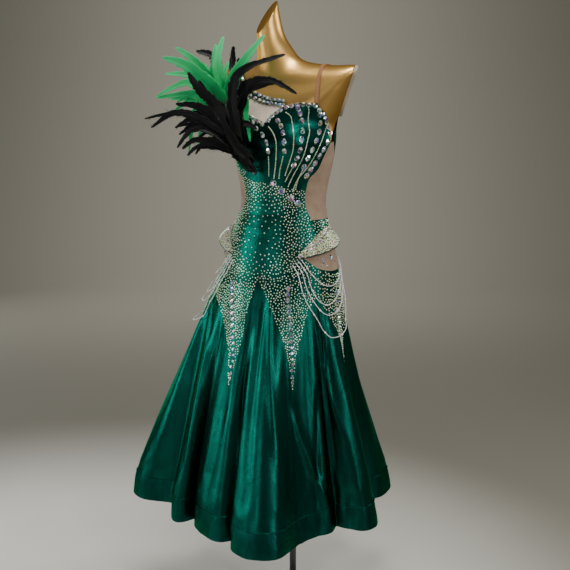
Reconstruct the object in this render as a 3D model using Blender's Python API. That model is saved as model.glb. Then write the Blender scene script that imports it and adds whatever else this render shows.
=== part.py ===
"""A ballroom dance dress, worn by a plain armless dress form on a pole stand.

Frame: +Z up, metres. The origin is the centre of the base's underside, under the pole. The front of the
dress faces -Y and the wearer's left is +X. Angles go round the body in degrees: 0 is the centre front,
90 the wearer's left side, 180 the centre back.
"""

import math
from typing import NamedTuple

import bmesh
import bpy
from mathutils import Vector
from mathutils.bvhtree import BVHTree

# ---- driving dimensions, in metres ----
HEM_HEIGHT = 0.36
BAND_HEIGHT = 0.07
FLARE_TOP = 1.10
TONGUE_TIP = 0.775
CLOTH = 0.0015
THICK_CLOTH = 0.002
EASE = 0.004  # from the form to the inside of the cloth
LAYER = 0.0072  # from the form to what lies on the cloth
BAND_STEP = 0.0002  # how far the hem band stands proud of the cloth, inside and out
SEAM = 0.0003
STRAP_WIDTH = 0.011
NECK_BAND_WIDTH = 0.018
PAD_THICKNESS = 0.003
PAD_HALF_WIDTH = 3.0  # in degrees of station
BLADE_RISE = 0.0015
MERGE = 0.00001


class Ring(NamedTuple):
    """One ring round the dress form. Its sides may stand higher than its front and back."""

    side: float
    front: float
    back: float
    half_width: float
    front_reach: float
    back_reach: float
    square: float
    shift_x: float
    shift_y: float


FORM_RINGS = [
    Ring(0.985, 0.985, 0.985, 0.160, 0.105, 0.115, 2.0, -0.020, -0.045),
    Ring(1.020, 1.020, 1.020, 0.174, 0.118, 0.130, 2.0, -0.020, -0.045),
    Ring(1.100, 1.100, 1.100, 0.172, 0.119, 0.130, 2.0, -0.020, -0.045),
    Ring(1.160, 1.160, 1.160, 0.158, 0.113, 0.118, 2.0, -0.018, -0.044),
    Ring(1.220, 1.220, 1.220, 0.139, 0.103, 0.101, 2.0, -0.015, -0.042),
    Ring(1.280, 1.280, 1.280, 0.1235, 0.0935, 0.090, 2.0, -0.012, -0.040),
    Ring(1.340, 1.340, 1.340, 0.128, 0.097, 0.093, 2.0, -0.012, -0.038),
    Ring(1.400, 1.400, 1.400, 0.141, 0.105, 0.101, 2.0, -0.012, -0.036),
    Ring(1.460, 1.460, 1.460, 0.149, 0.111, 0.106, 2.0, -0.012, -0.034),
    Ring(1.515, 1.515, 1.515, 0.150, 0.105, 0.108, 2.2, -0.012, -0.031),
    Ring(1.565, 1.550, 1.560, 0.180, 0.094, 0.100, 2.6, -0.012, -0.030),
    Ring(1.625, 1.585, 1.600, 0.215, 0.080, 0.085, 3.0, -0.012, -0.030),
    Ring(1.666, 1.615, 1.640, 0.236, 0.064, 0.066, 3.0, -0.012, -0.031),
    Ring(1.670, 1.636, 1.662, 0.150, 0.058, 0.058, 2.4, -0.014, -0.033),
    Ring(1.684, 1.655, 1.684, 0.075, 0.052, 0.056, 2.0, -0.026, -0.037),
    Ring(1.720, 1.705, 1.718, 0.050, 0.047, 0.050, 2.0, -0.039, -0.040),
    Ring(1.770, 1.765, 1.770, 0.037, 0.040, 0.042, 2.0, -0.053, -0.045),
    Ring(1.870, 1.870, 1.870, 0.034, 0.036, 0.037, 2.0, -0.066, -0.055),
]
BUST = dict(angle=30.0, height=1.462, rise=0.028, wide=20.0, tall=0.045)


def smooth_row(rows, place):
    """The row at a fractional place in a table, on a smooth curve through the rows."""
    last = len(rows) - 1
    place = min(max(place, 0.0), float(last))
    low = min(int(place), last - 1)
    t = place - low
    a, b, c, d = (rows[min(max(k, 0), last)] for k in (low - 1, low, low + 1, low + 2))
    blend = (
        (-t + 2 * t * t - t**3) / 2,
        (2 - 5 * t * t + 3 * t**3) / 2,
        (t + 4 * t * t - 3 * t**3) / 2,
        (-t * t + t**3) / 2,
    )
    return Ring(*(sum(w * v for w, v in zip(blend, column)) for column in zip(a, b, c, d)))


def body_at(angle, level, out=0.0):
    """A point of the dress form's surface, moved outwards."""
    ring = smooth_row(FORM_RINGS, level)
    turn = math.radians(angle)
    s, c = math.sin(turn), math.cos(turn)
    power = 2.0 / ring.square
    reach = ring.front_reach if c >= 0 else ring.back_reach
    x = math.copysign(abs(s) ** power, s) * ring.half_width
    y = -math.copysign(abs(c) ** power, c) * reach
    z = ring.side * s * s + (ring.front if c >= 0 else ring.back) * c * c
    wrapped = (angle + 180.0) % 360.0 - 180.0
    for side in (-1, 1):
        across = (wrapped - side * BUST["angle"]) / BUST["wide"]
        up = (z - BUST["height"]) / BUST["tall"]
        rise = BUST["rise"] * math.exp(-(across**2 + up**2))
        x += rise * s
        y -= rise * c
    point = Vector((x + ring.shift_x, y + ring.shift_y, z))
    if out:
        point += out * body_normal(angle, level)
    return point


def body_normal(angle, level):
    step_angle, step_level = 0.5, 0.01
    round_it = body_at(angle + step_angle, level) - body_at(angle - step_angle, level)
    last = len(FORM_RINGS) - 1
    up = body_at(angle, min(level + step_level, last)) - body_at(angle, max(level - step_level, 0))
    return round_it.cross(up).normalized()


# ---- the skirt: twelve flutes, one row each, round the hem from the wearer's right front ----
class Flute(NamedTuple):
    """The hem of one flute: its rise, crest and fall, and the valley after it."""

    rise: tuple
    crest: tuple
    fall: tuple
    valley: tuple


FLUTES = [
    Flute((-0.448, -0.085), (-0.480, -0.162), (-0.415, -0.210), (-0.305, -0.193)),
    Flute((-0.275, -0.250), (-0.243, -0.292), (-0.214, -0.295), (-0.190, -0.250)),
    Flute((-0.164, -0.292), (-0.117, -0.330), (-0.050, -0.352), (-0.010, -0.318)),
    Flute((0.010, -0.372), (0.077, -0.402), (0.143, -0.368), (0.152, -0.285)),
    Flute((0.158, -0.240), (0.178, -0.188), (0.200, -0.152), (0.196, -0.104)),
    Flute((0.230, -0.100), (0.286, -0.088), (0.288, -0.022), (0.217, 0.042)),
    Flute((0.198, 0.102), (0.226, 0.160), (0.218, 0.243), (0.155, 0.232)),
    Flute((0.155, 0.280), (0.148, 0.338), (0.102, 0.346), (0.072, 0.280)),
    Flute((0.042, 0.343), (0.004, 0.380), (-0.041, 0.365), (-0.070, 0.290)),
    Flute((-0.101, 0.340), (-0.141, 0.350), (-0.186, 0.315), (-0.187, 0.245)),
    Flute((-0.232, 0.280), (-0.287, 0.265), (-0.308, 0.210), (-0.275, 0.148)),
    Flute((-0.340, 0.152), (-0.397, 0.122), (-0.410, 0.058), (-0.360, -0.012)),
]
HEM = [point for flute in FLUTES for point in flute]
HEM_STEP = 7.5
FIRST_STATION = -82.5
FOLD_STEP = 5.0  # the folds are averaged away over this many degrees, this many steps each way
FOLD_REACH = 6


class Drop(NamedTuple):
    """How far the flare and its folds have opened, as shares, part of the way down the skirt.

    Sway is how far the skirt hangs to the wearer's right front there, in metres.
    """

    down: float
    flare: float
    fold: float
    sway: float


DROPS = [
    Drop(0.00, 0.00, 0.00, 0.000),
    Drop(0.06, 0.065, 0.01, 0.006),
    Drop(0.15, 0.160, 0.06, 0.009),
    Drop(0.30, 0.310, 0.22, 0.011),
    Drop(0.45, 0.460, 0.40, 0.012),
    Drop(0.60, 0.620, 0.60, 0.010),
    Drop(0.75, 0.780, 0.79, 0.007),
    Drop(0.90, 0.935, 0.93, 0.004),
    Drop(1.00, 1.000, 1.00, 0.000),
]
SWAY_WAY = Vector((-0.883, -0.469))
LOWEST = 2.0 - (FLARE_TOP - HEM_HEIGHT) * 10
BAND_TOP = LOWEST + BAND_HEIGHT * 10
TIP = 2.0 - (FLARE_TOP - TONGUE_TIP) * 10
APEX = 1.8
APEX_DROP = 0.42

# The seams in front hang to the wearer's left of where they start: (station, share of the lean)
LEAN = 21.0
LEAN_DEPTH = 2.5
LEANS = [
    (-180, 0.0), (-92, 0.0), (-60, 0.45), (-45, 0.95), (-8, 0.95), (8, 0.45), (24, 0.22), (40, 0.2), (60, 0.0),
    (180, 0.0),
]


def curve(a, b, c, d, t):
    return ((-t + 2 * t * t - t**3) * a + (2 - 5 * t * t + 3 * t**3) * b
            + (t + 4 * t * t - 3 * t**3) * c + (-t * t + t**3) * d) / 2


def hem_at(station):
    """The hem in plan at a station round the cloth."""
    place = (station - FIRST_STATION) / HEM_STEP
    low = math.floor(place)
    near = [HEM[(low + k) % len(HEM)] for k in (-1, 0, 1, 2)]
    return Vector([curve(*(p[axis] for p in near), place - low) for axis in (0, 1)])


def mean_hem(station):
    """The hem in plan with its folds smoothed away."""
    weights = {k: 1 + math.cos(math.pi * k / (FOLD_REACH + 1)) for k in range(-FOLD_REACH, FOLD_REACH + 1)}
    spread = [hem_at(station + k * FOLD_STEP) * weight for k, weight in weights.items()]
    return sum(spread, Vector((0, 0))) / sum(weights.values())


def share(down, field):
    down = min(max(down, 0.0), 1.0)
    k = max(i for i, drop in enumerate(DROPS) if drop.down <= down)
    k = min(k, len(DROPS) - 2)
    t = (down - DROPS[k].down) / (DROPS[k + 1].down - DROPS[k].down)
    near = [getattr(DROPS[min(max(i, 0), len(DROPS) - 1)], field) for i in (k - 1, k, k + 1, k + 2)]
    return curve(*near, t)


def skirt_at(station, height):
    top = body_at(station, 2.0)
    down = (FLARE_TOP - height) / (FLARE_TOP - HEM_HEIGHT)
    middle = mean_hem(station)
    fold = hem_at(station) - middle
    start = Vector((top.x, top.y))
    plan = start + (middle - start) * share(down, "flare") + fold * share(down, "fold")
    plan += SWAY_WAY * share(down, "sway")
    return Vector((plan.x, plan.y, height))


def cloth_at(station, level):
    """A point of the cloth's base surface: the body above level 2, the skirt below it."""
    if level >= 2.0:
        return body_at(station, level)
    return skirt_at(station, FLARE_TOP + (level - 2.0) / 10)


def seam_lean(station, level):
    """How far round a point of the cloth's grid hangs from its own station."""
    if level >= 2.0:
        return 0.0
    wrapped = (station + 180.0) % 360.0 - 180.0
    k = max(i for i, lean in enumerate(LEANS[:-1]) if lean[0] <= wrapped)
    near, far = LEANS[k], LEANS[k + 1]
    share_here = near[1] + (far[1] - near[1]) * (wrapped - near[0]) / (far[0] - near[0])
    down = math.sin(math.pi / 2 * min((2.0 - level) / LEAN_DEPTH, 1.0))
    if level < TIP:
        down = (1 + math.cos(math.pi * (TIP - level) / (TIP - BAND_TOP))) / 2
    return LEAN * share_here * down


def seam_spot(station, level):
    """Where a point of the cloth's grid hangs: every godet's apex but the front one sits lower."""
    spot = station + seam_lean(station, level)
    if not TIP < level < 2.0:
        return spot, level
    wrapped = abs((station + 180.0) % 360.0 - 180.0)
    near = (2.0 - level) / (2.0 - APEX) if level > APEX else (level - TIP) / (APEX - TIP)
    return spot, level - APEX_DROP * min(wrapped / 60.0, 1.0) * near


def cloth_normal(station, level):
    round_it = cloth_at(station + 0.5, level) - cloth_at(station - 0.5, level)
    low = max(level - 0.03, LOWEST)
    return round_it.cross(cloth_at(station, low + 0.06) - cloth_at(station, low)).normalized()


# ---- materials and object helpers ----
def material(name, colour, roughness, metallic=0.0):
    made = bpy.data.materials.new(name)
    made.use_nodes = True
    shader = made.node_tree.nodes["Principled BSDF"]
    shader.inputs["Base Color"].default_value = (*colour, 1.0)
    shader.inputs["Roughness"].default_value = roughness
    shader.inputs["Metallic"].default_value = metallic
    return made


def finish(name, work, look):
    """Turn a bmesh into a named object with its faces outward."""
    bmesh.ops.remove_doubles(work, verts=work.verts, dist=MERGE)
    bmesh.ops.recalc_face_normals(work, faces=work.faces)
    if work.calc_volume(signed=True) < 0:
        bmesh.ops.reverse_faces(work, faces=work.faces)
    mesh = bpy.data.meshes.new(name)
    work.to_mesh(mesh)
    work.free()
    mesh.materials.append(look)
    made = bpy.data.objects.new(name, mesh)
    bpy.context.collection.objects.link(made)
    return made


def stitch(low, high):
    """Faces between two rows of vertex keys, which may hold different numbers of them."""
    faces = []
    m, n = len(low) - 1, len(high) - 1
    i = j = 0
    while i < m or j < n:
        step_low = (i + 1) / m if i < m else 2.0
        step_high = (j + 1) / n if j < n else 2.0
        if abs(step_low - step_high) < 1e-9:
            face = [low[i], low[i + 1], high[j + 1], high[j]]
            i, j = i + 1, j + 1
        elif step_low < step_high:
            face = [low[i], low[i + 1], high[j]]
            i += 1
        else:
            face = [low[i], high[j + 1], high[j]]
            j += 1
        kept = []
        for key in face:
            if key not in kept:
                kept.append(key)
        if len(kept) > 2:
            faces.append(kept)
    return faces


def inset(base, faces):
    """Draw a sheet's border in by half a seam."""
    uses = {}
    for face in faces:
        for a, b in zip(face, face[1:] + face[:1]):
            uses[(a, b)] = True
    border = [edge for edge in uses if (edge[1], edge[0]) not in uses]
    pulls = {}
    for a, b in border:
        along = (base[b][0] - base[a][0]).normalized()
        for key in (a, b):
            pulls.setdefault(key, []).append(base[key][1].cross(along).normalized())
    for key, inward in pulls.items():
        total = sum(inward, Vector()).normalized()
        miter = max(total.dot(inward[0]), 0.25)
        point, normal = base[key]
        base[key] = (point + total * (SEAM / 2 / miter), normal)
    return border


def wall(name, patches, look, inner=EASE, thick=CLOTH):
    """A thin wall of cloth over patches of (station, level) rows, each from its foot up.

    A row's point may carry a third number: its own distance from the base surface.
    """
    base, lifts, faces = {}, {}, []
    for rows in patches:
        keys = []
        for row in rows:
            line = []
            for point in row:
                key = (round(point[0], 4), round(point[1], 4))
                if key not in base:
                    spot = seam_spot(*point[:2])
                    base[key] = (cloth_at(*spot), cloth_normal(*spot))
                    lifts[key] = point[2] if len(point) > 2 else inner
                line.append(key)
            keys.append(line)
        for low, high in zip(keys, keys[1:]):
            faces += stitch(low, high)
    border = inset(base, faces)
    return shell(name, base, lifts, faces, border, look, thick)


def shell(name, base, lifts, faces, border, look, thick):
    work = bmesh.new()
    inner, outer = {}, {}
    for key, (point, normal) in base.items():
        inner[key] = work.verts.new(point + normal * lifts[key])
        outer[key] = work.verts.new(point + normal * (lifts[key] + thick))
    for face in faces:
        for corner in halves(base, face):
            work.faces.new([outer[key] for key in corner])
            work.faces.new([inner[key] for key in reversed(corner)])
    for a, b in border:
        if in_order(a) < in_order(b):
            work.faces.new([outer[b], outer[a], inner[b]])
            work.faces.new([outer[a], inner[a], inner[b]])
        else:
            work.faces.new([outer[b], outer[a], inner[a]])
            work.faces.new([outer[b], inner[a], inner[b]])
    return finish(name, work, look)


def halves(base, face):
    """A face as triangles, cut across its shorter diagonal."""
    if len(face) == 3:
        return [face]
    a, b, c, d = face
    if (base[a][0] - base[c][0]).length <= (base[b][0] - base[d][0]).length:
        return [[a, b, c], [a, c, d]]
    return [[a, b, d], [b, c, d]]


def in_order(key):
    """The same order for a seam's points in both panels that share it."""
    return round(key[1], 3), round((key[0] + 180.0) % 360.0, 2)


def spaced(low, high, count):
    return [low + (high - low) * k / count for k in range(count + 1)]


def between(a, b, count):
    """Points on a straight line between two points of the cloth's own grid."""
    return [tuple(p + (q - p) * k / count for p, q in zip(a, b)) for k in range(count + 1)]


# ---- the cut: the edges the panels share, as (station, level) points from the foot up ----
LEFT_FRONT_EDGE = [
    (60, 1.8), (60, 1.95), (60, 2.22), (54, 2.42), (45, 2.70), (52.5, 2.84), (60, 2.98),
    (60, 3.34), (60, 3.70), (60, 4.06), (62, 4.42),
    (56.9, 4.76), (53.5, 5.11), (52.1, 5.55), (53, 5.93), (56, 6.40), (65.9, 6.79), (73, 7.37), (82.7, 7.98),
]
RIGHT_FRONT_EDGE = [
    (-60, 1.8), (-60, 1.95), (-60, 2.22), (-54, 2.42), (-45, 2.70), (-52.5, 2.84), (-60, 2.98),
    (-60, 3.34), (-60, 3.70), (-60, 4.06), (-62, 4.42),
    (-50, 4.76), (-42.6, 5.11), (-39.1, 5.55), (-38, 5.93), (-45, 6.40), (-56, 6.79), (-66, 7.37), (-78, 7.98),
]
NECKLINE = [
    (-78.5, 8.25), (-75, 8.85), (-69, 9.35), (-60, 9.70), (-50, 9.90), (-40, 10.0), (-30, 9.95), (-21, 9.62),
    (-10, 9.25), (-0.3, 8.94), (4, 9.55), (9, 10.14), (15, 10.28), (22, 10.37), (32, 10.3), (41, 10.2),
    (54.5, 9.80), (66, 9.50), (74, 9.15), (80, 8.70), (83, 8.30),
]
BACK_EDGE = [
    (120, 1.8), (120, 1.92), (119, 2.04), (117, 2.48), (114.5, 2.91), (112, 3.35),
    (112, 3.62), (112, 3.88), (112, 4.15), (112, 4.42),
    (112, 4.76), (112, 5.11), (112, 5.55), (112, 5.93), (112, 6.40), (110.5, 6.79), (104, 7.37), (91, 8.05),
]
BACK_NECKLINE = [
    (94, 8.50), (105, 8.70), (118, 9.00), (132, 9.65), (148, 9.90), (164, 9.78), (180, 9.70),
]
WINDOW_FOOT = [(60, 2.22), (70, 2.10), (80, 2.04), (90, 2.03), (100, 2.03), (110, 2.03), (119, 2.04)]
YOKE_FOOT = [(60, 2.98), (68.7, 3.06), (77.3, 3.13), (86, 3.20), (94.7, 3.26), (103.3, 3.31), (112, 3.35)]
CHEST_TOP = [(-17, 11.9), (-15, 11.7), (-12, 11.4), (-8, 11.0), (-1, 10.6), (9, 10.14)]
SPLIT_LEVELS = [1.72, 1.4, 0.95, 0.5, 0.05, -0.4, -0.85]
LOW_LEVELS = [TIP, -1.9, -2.6, -3.3, -4.0, BAND_TOP]


def mirrored(points):
    return [(-point[0], *point[1:]) for point in points]


def tongue_half(level):
    """Half a tongue's width, in degrees of station, at a level between its root and its tip."""
    down = (APEX - level) / (APEX - TIP)
    return 30.0 * (1 - down) / (1 + 0.55 * down)


def tongue_rows(middle):
    """The rows of one tongue from its tip up to its root."""
    rows = [[(middle, TIP)]]
    counts = [6, 6, 4, 4, 4, 2, 2]
    for level, count in reversed(list(zip(SPLIT_LEVELS, counts))):
        half = tongue_half(level)
        rows.append([(s, level) for s in spaced(middle - half, middle + half, count)])
    rows.append([(s, APEX) for s in spaced(middle - 30, middle + 30, 6)])
    return rows


def front_panel(look):
    rows = [[(s, APEX) for s in spaced(-60, 60, 12)]]
    count = len(NECKLINE) - 1
    for place, (right, left) in enumerate(zip(RIGHT_FRONT_EDGE[1:], LEFT_FRONT_EDGE[1:])):
        rows.append(between(right, left, 12 if place < 12 else count))
    top = rows[-1]
    for step in (0.25, 0.5, 0.75, 1.0):
        rows.append([tuple(a + (b - a) * step for a, b in zip(p, q)) for p, q in zip(top, NECKLINE)])
    wall("front_panel", [rows, tongue_rows(-30.0), tongue_rows(30.0)], look)


def back_panel(look):
    far = [(360 - s, z) for s, z in BACK_EDGE]
    count = 12
    rows = [[(s, APEX) for s in spaced(120, 240, 12)]]
    rows += [between(near, other, count) for near, other in zip(BACK_EDGE[1:], far[1:])]
    top = rows[-1]
    neckline = BACK_NECKLINE + [(360 - s, z) for s, z in BACK_NECKLINE[-2::-1]]
    for step in (0.5, 1.0):
        rows.append([tuple(a + (b - a) * step for a, b in zip(p, q)) for p, q in zip(top, neckline)])
    wall("back_panel", [rows, tongue_rows(150.0), tongue_rows(210.0)], look)


def hip_panel(side, look):
    rows = [
        [(s, APEX) for s in spaced(60, 120, 6)],
        between(LEFT_FRONT_EDGE[1], BACK_EDGE[1], 6),
        WINDOW_FOOT,
    ]
    tongue = tongue_rows(90.0)
    if side < 0:
        rows = [mirrored(row)[::-1] for row in rows]
        tongue = [mirrored(row)[::-1] for row in tongue]
    wall("left_hip_panel" if side > 0 else "right_hip_panel", [rows, tongue], look)


def window_mesh(side, look):
    """The bare-looking mesh under the hip flap."""
    foot = [(45, 2.70), (54, 2.42)] + WINDOW_FOOT
    head = [(45, 2.70), (52.5, 2.84)] + YOKE_FOOT
    end = BACK_EDGE[2:6]
    rows = []
    for k in range(4):
        row = [tuple(a + (b - a) * k / 3 for a, b in zip(p, q)) for p, q in zip(foot, head)]
        row[-1] = end[k]
        rows.append(row)
    if side < 0:
        rows = [mirrored(row)[::-1] for row in rows]
    wall("left_hip_mesh" if side > 0 else "right_hip_mesh", [rows], look)


def hip_yoke(side, look):
    front = (LEFT_FRONT_EDGE if side > 0 else mirrored(RIGHT_FRONT_EDGE))[6:11]
    back = BACK_EDGE[5:10]
    rows = []
    for k in range(5):
        line = between(front[k], back[k], 6)
        if k == 0:
            line = list(YOKE_FOOT)
        rows.append(line)
    if side < 0:
        rows = [mirrored(row)[::-1] for row in rows]
    wall("left_hip_yoke" if side > 0 else "right_hip_yoke", [rows], look)


def side_mesh(side, look):
    front = (LEFT_FRONT_EDGE if side > 0 else mirrored(RIGHT_FRONT_EDGE))[10:]
    rows = [between(a, b, 6) for a, b in zip(front, BACK_EDGE[9:])]
    if side < 0:
        rows = [mirrored(row)[::-1] for row in rows]
    wall("left_side_mesh" if side > 0 else "right_side_mesh", [rows], look)


def chest_mesh(look):
    foot = NECKLINE[4:10]
    middle = [tuple((a + b) / 2 for a, b in zip(p, q)) for p, q in zip(foot, CHEST_TOP)]
    middle[-1] = NECKLINE[10]
    wall("chest_mesh", [[foot, middle, CHEST_TOP]], look)


def godet(number, middle, look):
    """A wedge of the skirt between two tongues, from its apex to the top of the hem band."""
    rows = []
    for level in reversed(LOW_LEVELS):
        rows.append([(s, level) for s in spaced(middle - 30, middle + 30, 24)])
    counts = [1, 2, 4, 6, 8, 12, 12]
    for level, count in reversed(list(zip(SPLIT_LEVELS, counts))):
        half = 30 - tongue_half(level)
        rows.append([(s, level) for s in spaced(middle - half, middle + half, count)])
    rows.append([(middle, APEX)])
    wall("godet_%d" % number, [rows], look)


def hem_band(number, middle, look):
    rows = []
    for level in (LOWEST, BAND_TOP):
        rows.append([(s, level) for s in spaced(middle - 30, middle + 30, 24)])
    wall("hem_band_%d" % number, [rows], look, inner=EASE - BAND_STEP, thick=CLOTH + 2 * BAND_STEP)


class FlapRow(NamedTuple):
    """One rib of a hip flap: its end on the seam and its free end, each with a lift off the form."""

    station: float
    level: float
    lift: float
    free_station: float
    free_level: float
    free_lift: float


FLAP = [
    FlapRow(39.0, 2.80, 0.0060, 40.0, 2.70, LAYER),
    FlapRow(50.0, 3.22, 0.0060, 49.0, 2.74, 0.0088),
    FlapRow(60.0, 3.56, 0.0060, 60.0, 2.82, 0.0110),
    FlapRow(68.7, 3.79, 0.0061, 74.0, 2.93, 0.0145),
    FlapRow(77.3, 3.95, 0.0062, 89.0, 3.05, 0.0185),
    FlapRow(86.0, 4.05, 0.0064, 103.0, 3.18, 0.0200),
    FlapRow(94.7, 4.08, 0.0070, 114.0, 3.32, 0.0190),
]


RIGHT_FLARE = 3.3  # the right flap's free edge stands out this many times further off the cloth


def hip_flap(side, look):
    flare = 1.0 if side > 0 else RIGHT_FLARE
    rows = []
    for k in range(5):
        rows.append([])
        for row in FLAP:
            free = (row.free_station, row.free_level, LAYER + (row.free_lift - LAYER) * flare)
            rows[-1].append(tuple(a + (b - a) * k / 4 for a, b in zip(free, row[:3])))
    if side < 0:
        rows = [mirrored(row)[::-1] for row in rows]
    wall("left_hip_flap" if side > 0 else "right_hip_flap", [rows], look, thick=THICK_CLOTH)


# ---- the dress form and its stand ----
FORM_SIDES = 28


def form_shell():
    work = bmesh.new()
    rings = []
    for step in range(2 * (len(FORM_RINGS) - 1) + 1):
        level = step / 2
        rings.append([work.verts.new(body_at(360.0 * k / FORM_SIDES, level)) for k in range(FORM_SIDES)])
    for low, high in zip(rings, rings[1:]):
        for k in range(FORM_SIDES):
            n = (k + 1) % FORM_SIDES
            work.faces.new([low[k], low[n], high[n], high[k]])
    work.faces.new(list(reversed(rings[0])))
    work.faces.new(rings[-1])
    bmesh.ops.recalc_face_normals(work, faces=work.faces)
    return work


class Cut(NamedTuple):
    """A flat end of the dress form, its side (1 left, -1 right, 0 neither), and the height it starts above."""

    point: tuple
    normal: tuple
    side: int
    above: float


LEFT_ARM_CUT = Cut((0.2047, -0.031, 1.6661), (0.8608, 0.4089, -0.3032), 1, 1.5149)
RIGHT_ARM_CUT = Cut((-0.2287, -0.031, 1.6661), (-0.8608, 0.4089, -0.3032), -1, 1.5149)
NECK_CUT = Cut((-0.0513, -0.0952, 1.760), (-0.52, -0.62, 0.55), 0, 1.69)
ARM_REACH = 0.05  # an arm's cut leaves the form alone nearer the middle than this
CUT_MERGE = 0.0001
CAP_STEPS = [(0.0003, 0.985), (0.011, 0.985), (0.015, 0.93), (0.0165, 0.80)]  # out from the cut, and size


def cut(work, end):
    """Slice off what lies beyond a flat end, and return the new face."""
    faces = [f for f in work.faces if min(v.co.z for v in f.verts) > end.above]
    if end.side:
        faces = [f for f in faces if f.calc_center_median().x * end.side > ARM_REACH]
    parts = set(faces)
    for face in faces:
        parts.update(face.verts)
        parts.update(face.edges)
    done = bmesh.ops.bisect_plane(
        work, geom=list(parts), plane_co=end.point, plane_no=end.normal, clear_outer=True)
    edges = [e for e in done["geom_cut"] if isinstance(e, bmesh.types.BMEdge) and e.is_boundary]
    before = set(work.faces)
    bmesh.ops.edgeloop_fill(work, edges=edges)
    return [f for f in work.faces if f not in before]


def form_torso(look):
    work = form_shell()
    for end in (LEFT_ARM_CUT, RIGHT_ARM_CUT, NECK_CUT):
        cut(work, end)
    bmesh.ops.remove_doubles(work, verts=work.verts, dist=CUT_MERGE)
    return finish("form_torso", work, look)


def arm_cap(side, look):
    """The plain disc that closes a shoulder."""
    end = LEFT_ARM_CUT if side > 0 else RIGHT_ARM_CUT
    work = form_shell()
    faces = cut(work, end)
    outline = [v.co.copy() for v in faces[0].verts]
    work.free()
    centre = sum(outline, Vector()) / len(outline)
    cap = bmesh.new()
    rings = []
    for out, size in CAP_STEPS:
        push = Vector(end.normal) * out
        rings.append([cap.verts.new(centre + (p - centre) * size + push) for p in outline])
    count = len(outline)
    for low, high in zip(rings, rings[1:]):
        for k in range(count):
            n = (k + 1) % count
            cap.faces.new([low[k], low[n], high[n], high[k]])
    cap.faces.new(list(reversed(rings[0])))
    cap.faces.new(rings[-1])
    return finish("form_arm_cap_left" if side > 0 else "form_arm_cap_right", cap, look)


POLE_PROFILE = [(0.0105, 0.0303), (0.0105, 0.9847)]  # radius and height
BASE_PROFILE = [(0.156, 0.0), (0.160, 0.004), (0.160, 0.014), (0.152, 0.020), (0.026, 0.022), (0.022, 0.030)]


def turned(name, profile, look, count=32):
    """A solid of revolution about the pole's axis, from (radius, height) pairs, foot first."""
    work = bmesh.new()
    rings = []
    for radius, height in profile:
        turns = [2 * math.pi * k / count for k in range(count)]
        rings.append([work.verts.new((radius * math.cos(t), radius * math.sin(t), height)) for t in turns])
    for low, high in zip(rings, rings[1:]):
        for k in range(count):
            n = (k + 1) % count
            work.faces.new([low[k], low[n], high[n], high[k]])
    work.faces.new(list(reversed(rings[0])))
    work.faces.new(rings[-1])
    return finish(name, work, look)


# ---- ribbons over the shoulders ----
STRAP_PATH = [
    (0.127, -0.1085, 1.5668), (0.126, -0.101, 1.595), (0.124, -0.084, 1.640), (0.121, -0.055, 1.675),
    (0.119, -0.025, 1.684), (0.117, 0.010, 1.672), (0.114, 0.038, 1.640), (0.109, 0.058, 1.600),
    (0.105, 0.066, 1.572),
]
# how far each ribbon's underside stands off the form, from its front end to its back end
STRAP_LIFTS = [0.004, 0.003, 0.0018, 0.0010, 0.0006, 0.0010, 0.0018, 0.003, 0.004]
NECK_BAND_LIFTS = [LAYER, LAYER, LAYER, LAYER, 0.0058, 0.003, 0.0016, 0.0007, 0.0014, 0.0018, 0.003, 0.004]
RIBBON_PARTS = 3
BAND_PATH = [
    (0.035, -0.124, 1.567), (-0.002, -0.122, 1.571), (-0.036, -0.119, 1.579), (-0.080, -0.111, 1.597),
    (-0.112, -0.098, 1.623), (-0.130, -0.078, 1.652), (-0.137, -0.050, 1.674), (-0.138, -0.022, 1.682),
    (-0.137, 0.012, 1.670), (-0.132, 0.038, 1.640), (-0.127, 0.058, 1.600), (-0.122, 0.066, 1.572),
]


def ribbon(name, path, width, lifts, look, surface, thick=CLOTH):
    """A ribbon laid over the dress form through points near its surface."""
    work = bmesh.new()
    fine = []
    last = len(path) - 1
    for k in range(last):
        for step in range(RIBBON_PARTS):
            part = step / RIBBON_PARTS
            near = [path[min(max(k + n, 0), last)] for n in (-1, 0, 1, 2)]
            fine.append((Vector([curve(*(p[a] for p in near), part) for a in range(3)]), (k + part) / last))
    fine.append((Vector(path[-1]), 1.0))
    rows = []
    for k, (point, place) in enumerate(fine):
        ahead = fine[min(k + 1, len(fine) - 1)][0] - fine[max(k - 1, 0)][0]
        spot, normal = surface.find_nearest(point)[:2]
        side = ahead.cross(normal).normalized()
        slot = place * (len(lifts) - 1)
        low = min(int(slot), len(lifts) - 2)
        lift = lifts[low] + (lifts[low + 1] - lifts[low]) * (slot - low)
        row = []
        for across in (-0.5, 0.0, 0.5):
            spot, normal = surface.find_nearest(point + side * across * width)[:2]
            row.append((work.verts.new(spot + normal * lift), work.verts.new(spot + normal * (lift + thick))))
        rows.append(row)
    for low, high in zip(rows, rows[1:]):
        for k in (0, 1):
            for layer in (0, 1):
                work.faces.new([low[k][layer], low[k + 1][layer], high[k + 1][layer], high[k][layer]])
        for k in (0, 2):
            work.faces.new([low[k][0], low[k][1], high[k][1], high[k][0]])
    for row in (rows[0], rows[-1]):
        for k in (0, 1):
            work.faces.new([row[k][0], row[k][1], row[k + 1][1], row[k + 1][0]])
    return finish(name, work, look)


# ---- strands of beads over the hips: each a row of (station, level, lift) points ----
class Strand(NamedTuple):
    """One strand of beads by the points it hangs through."""

    name: str
    path: tuple


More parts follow.
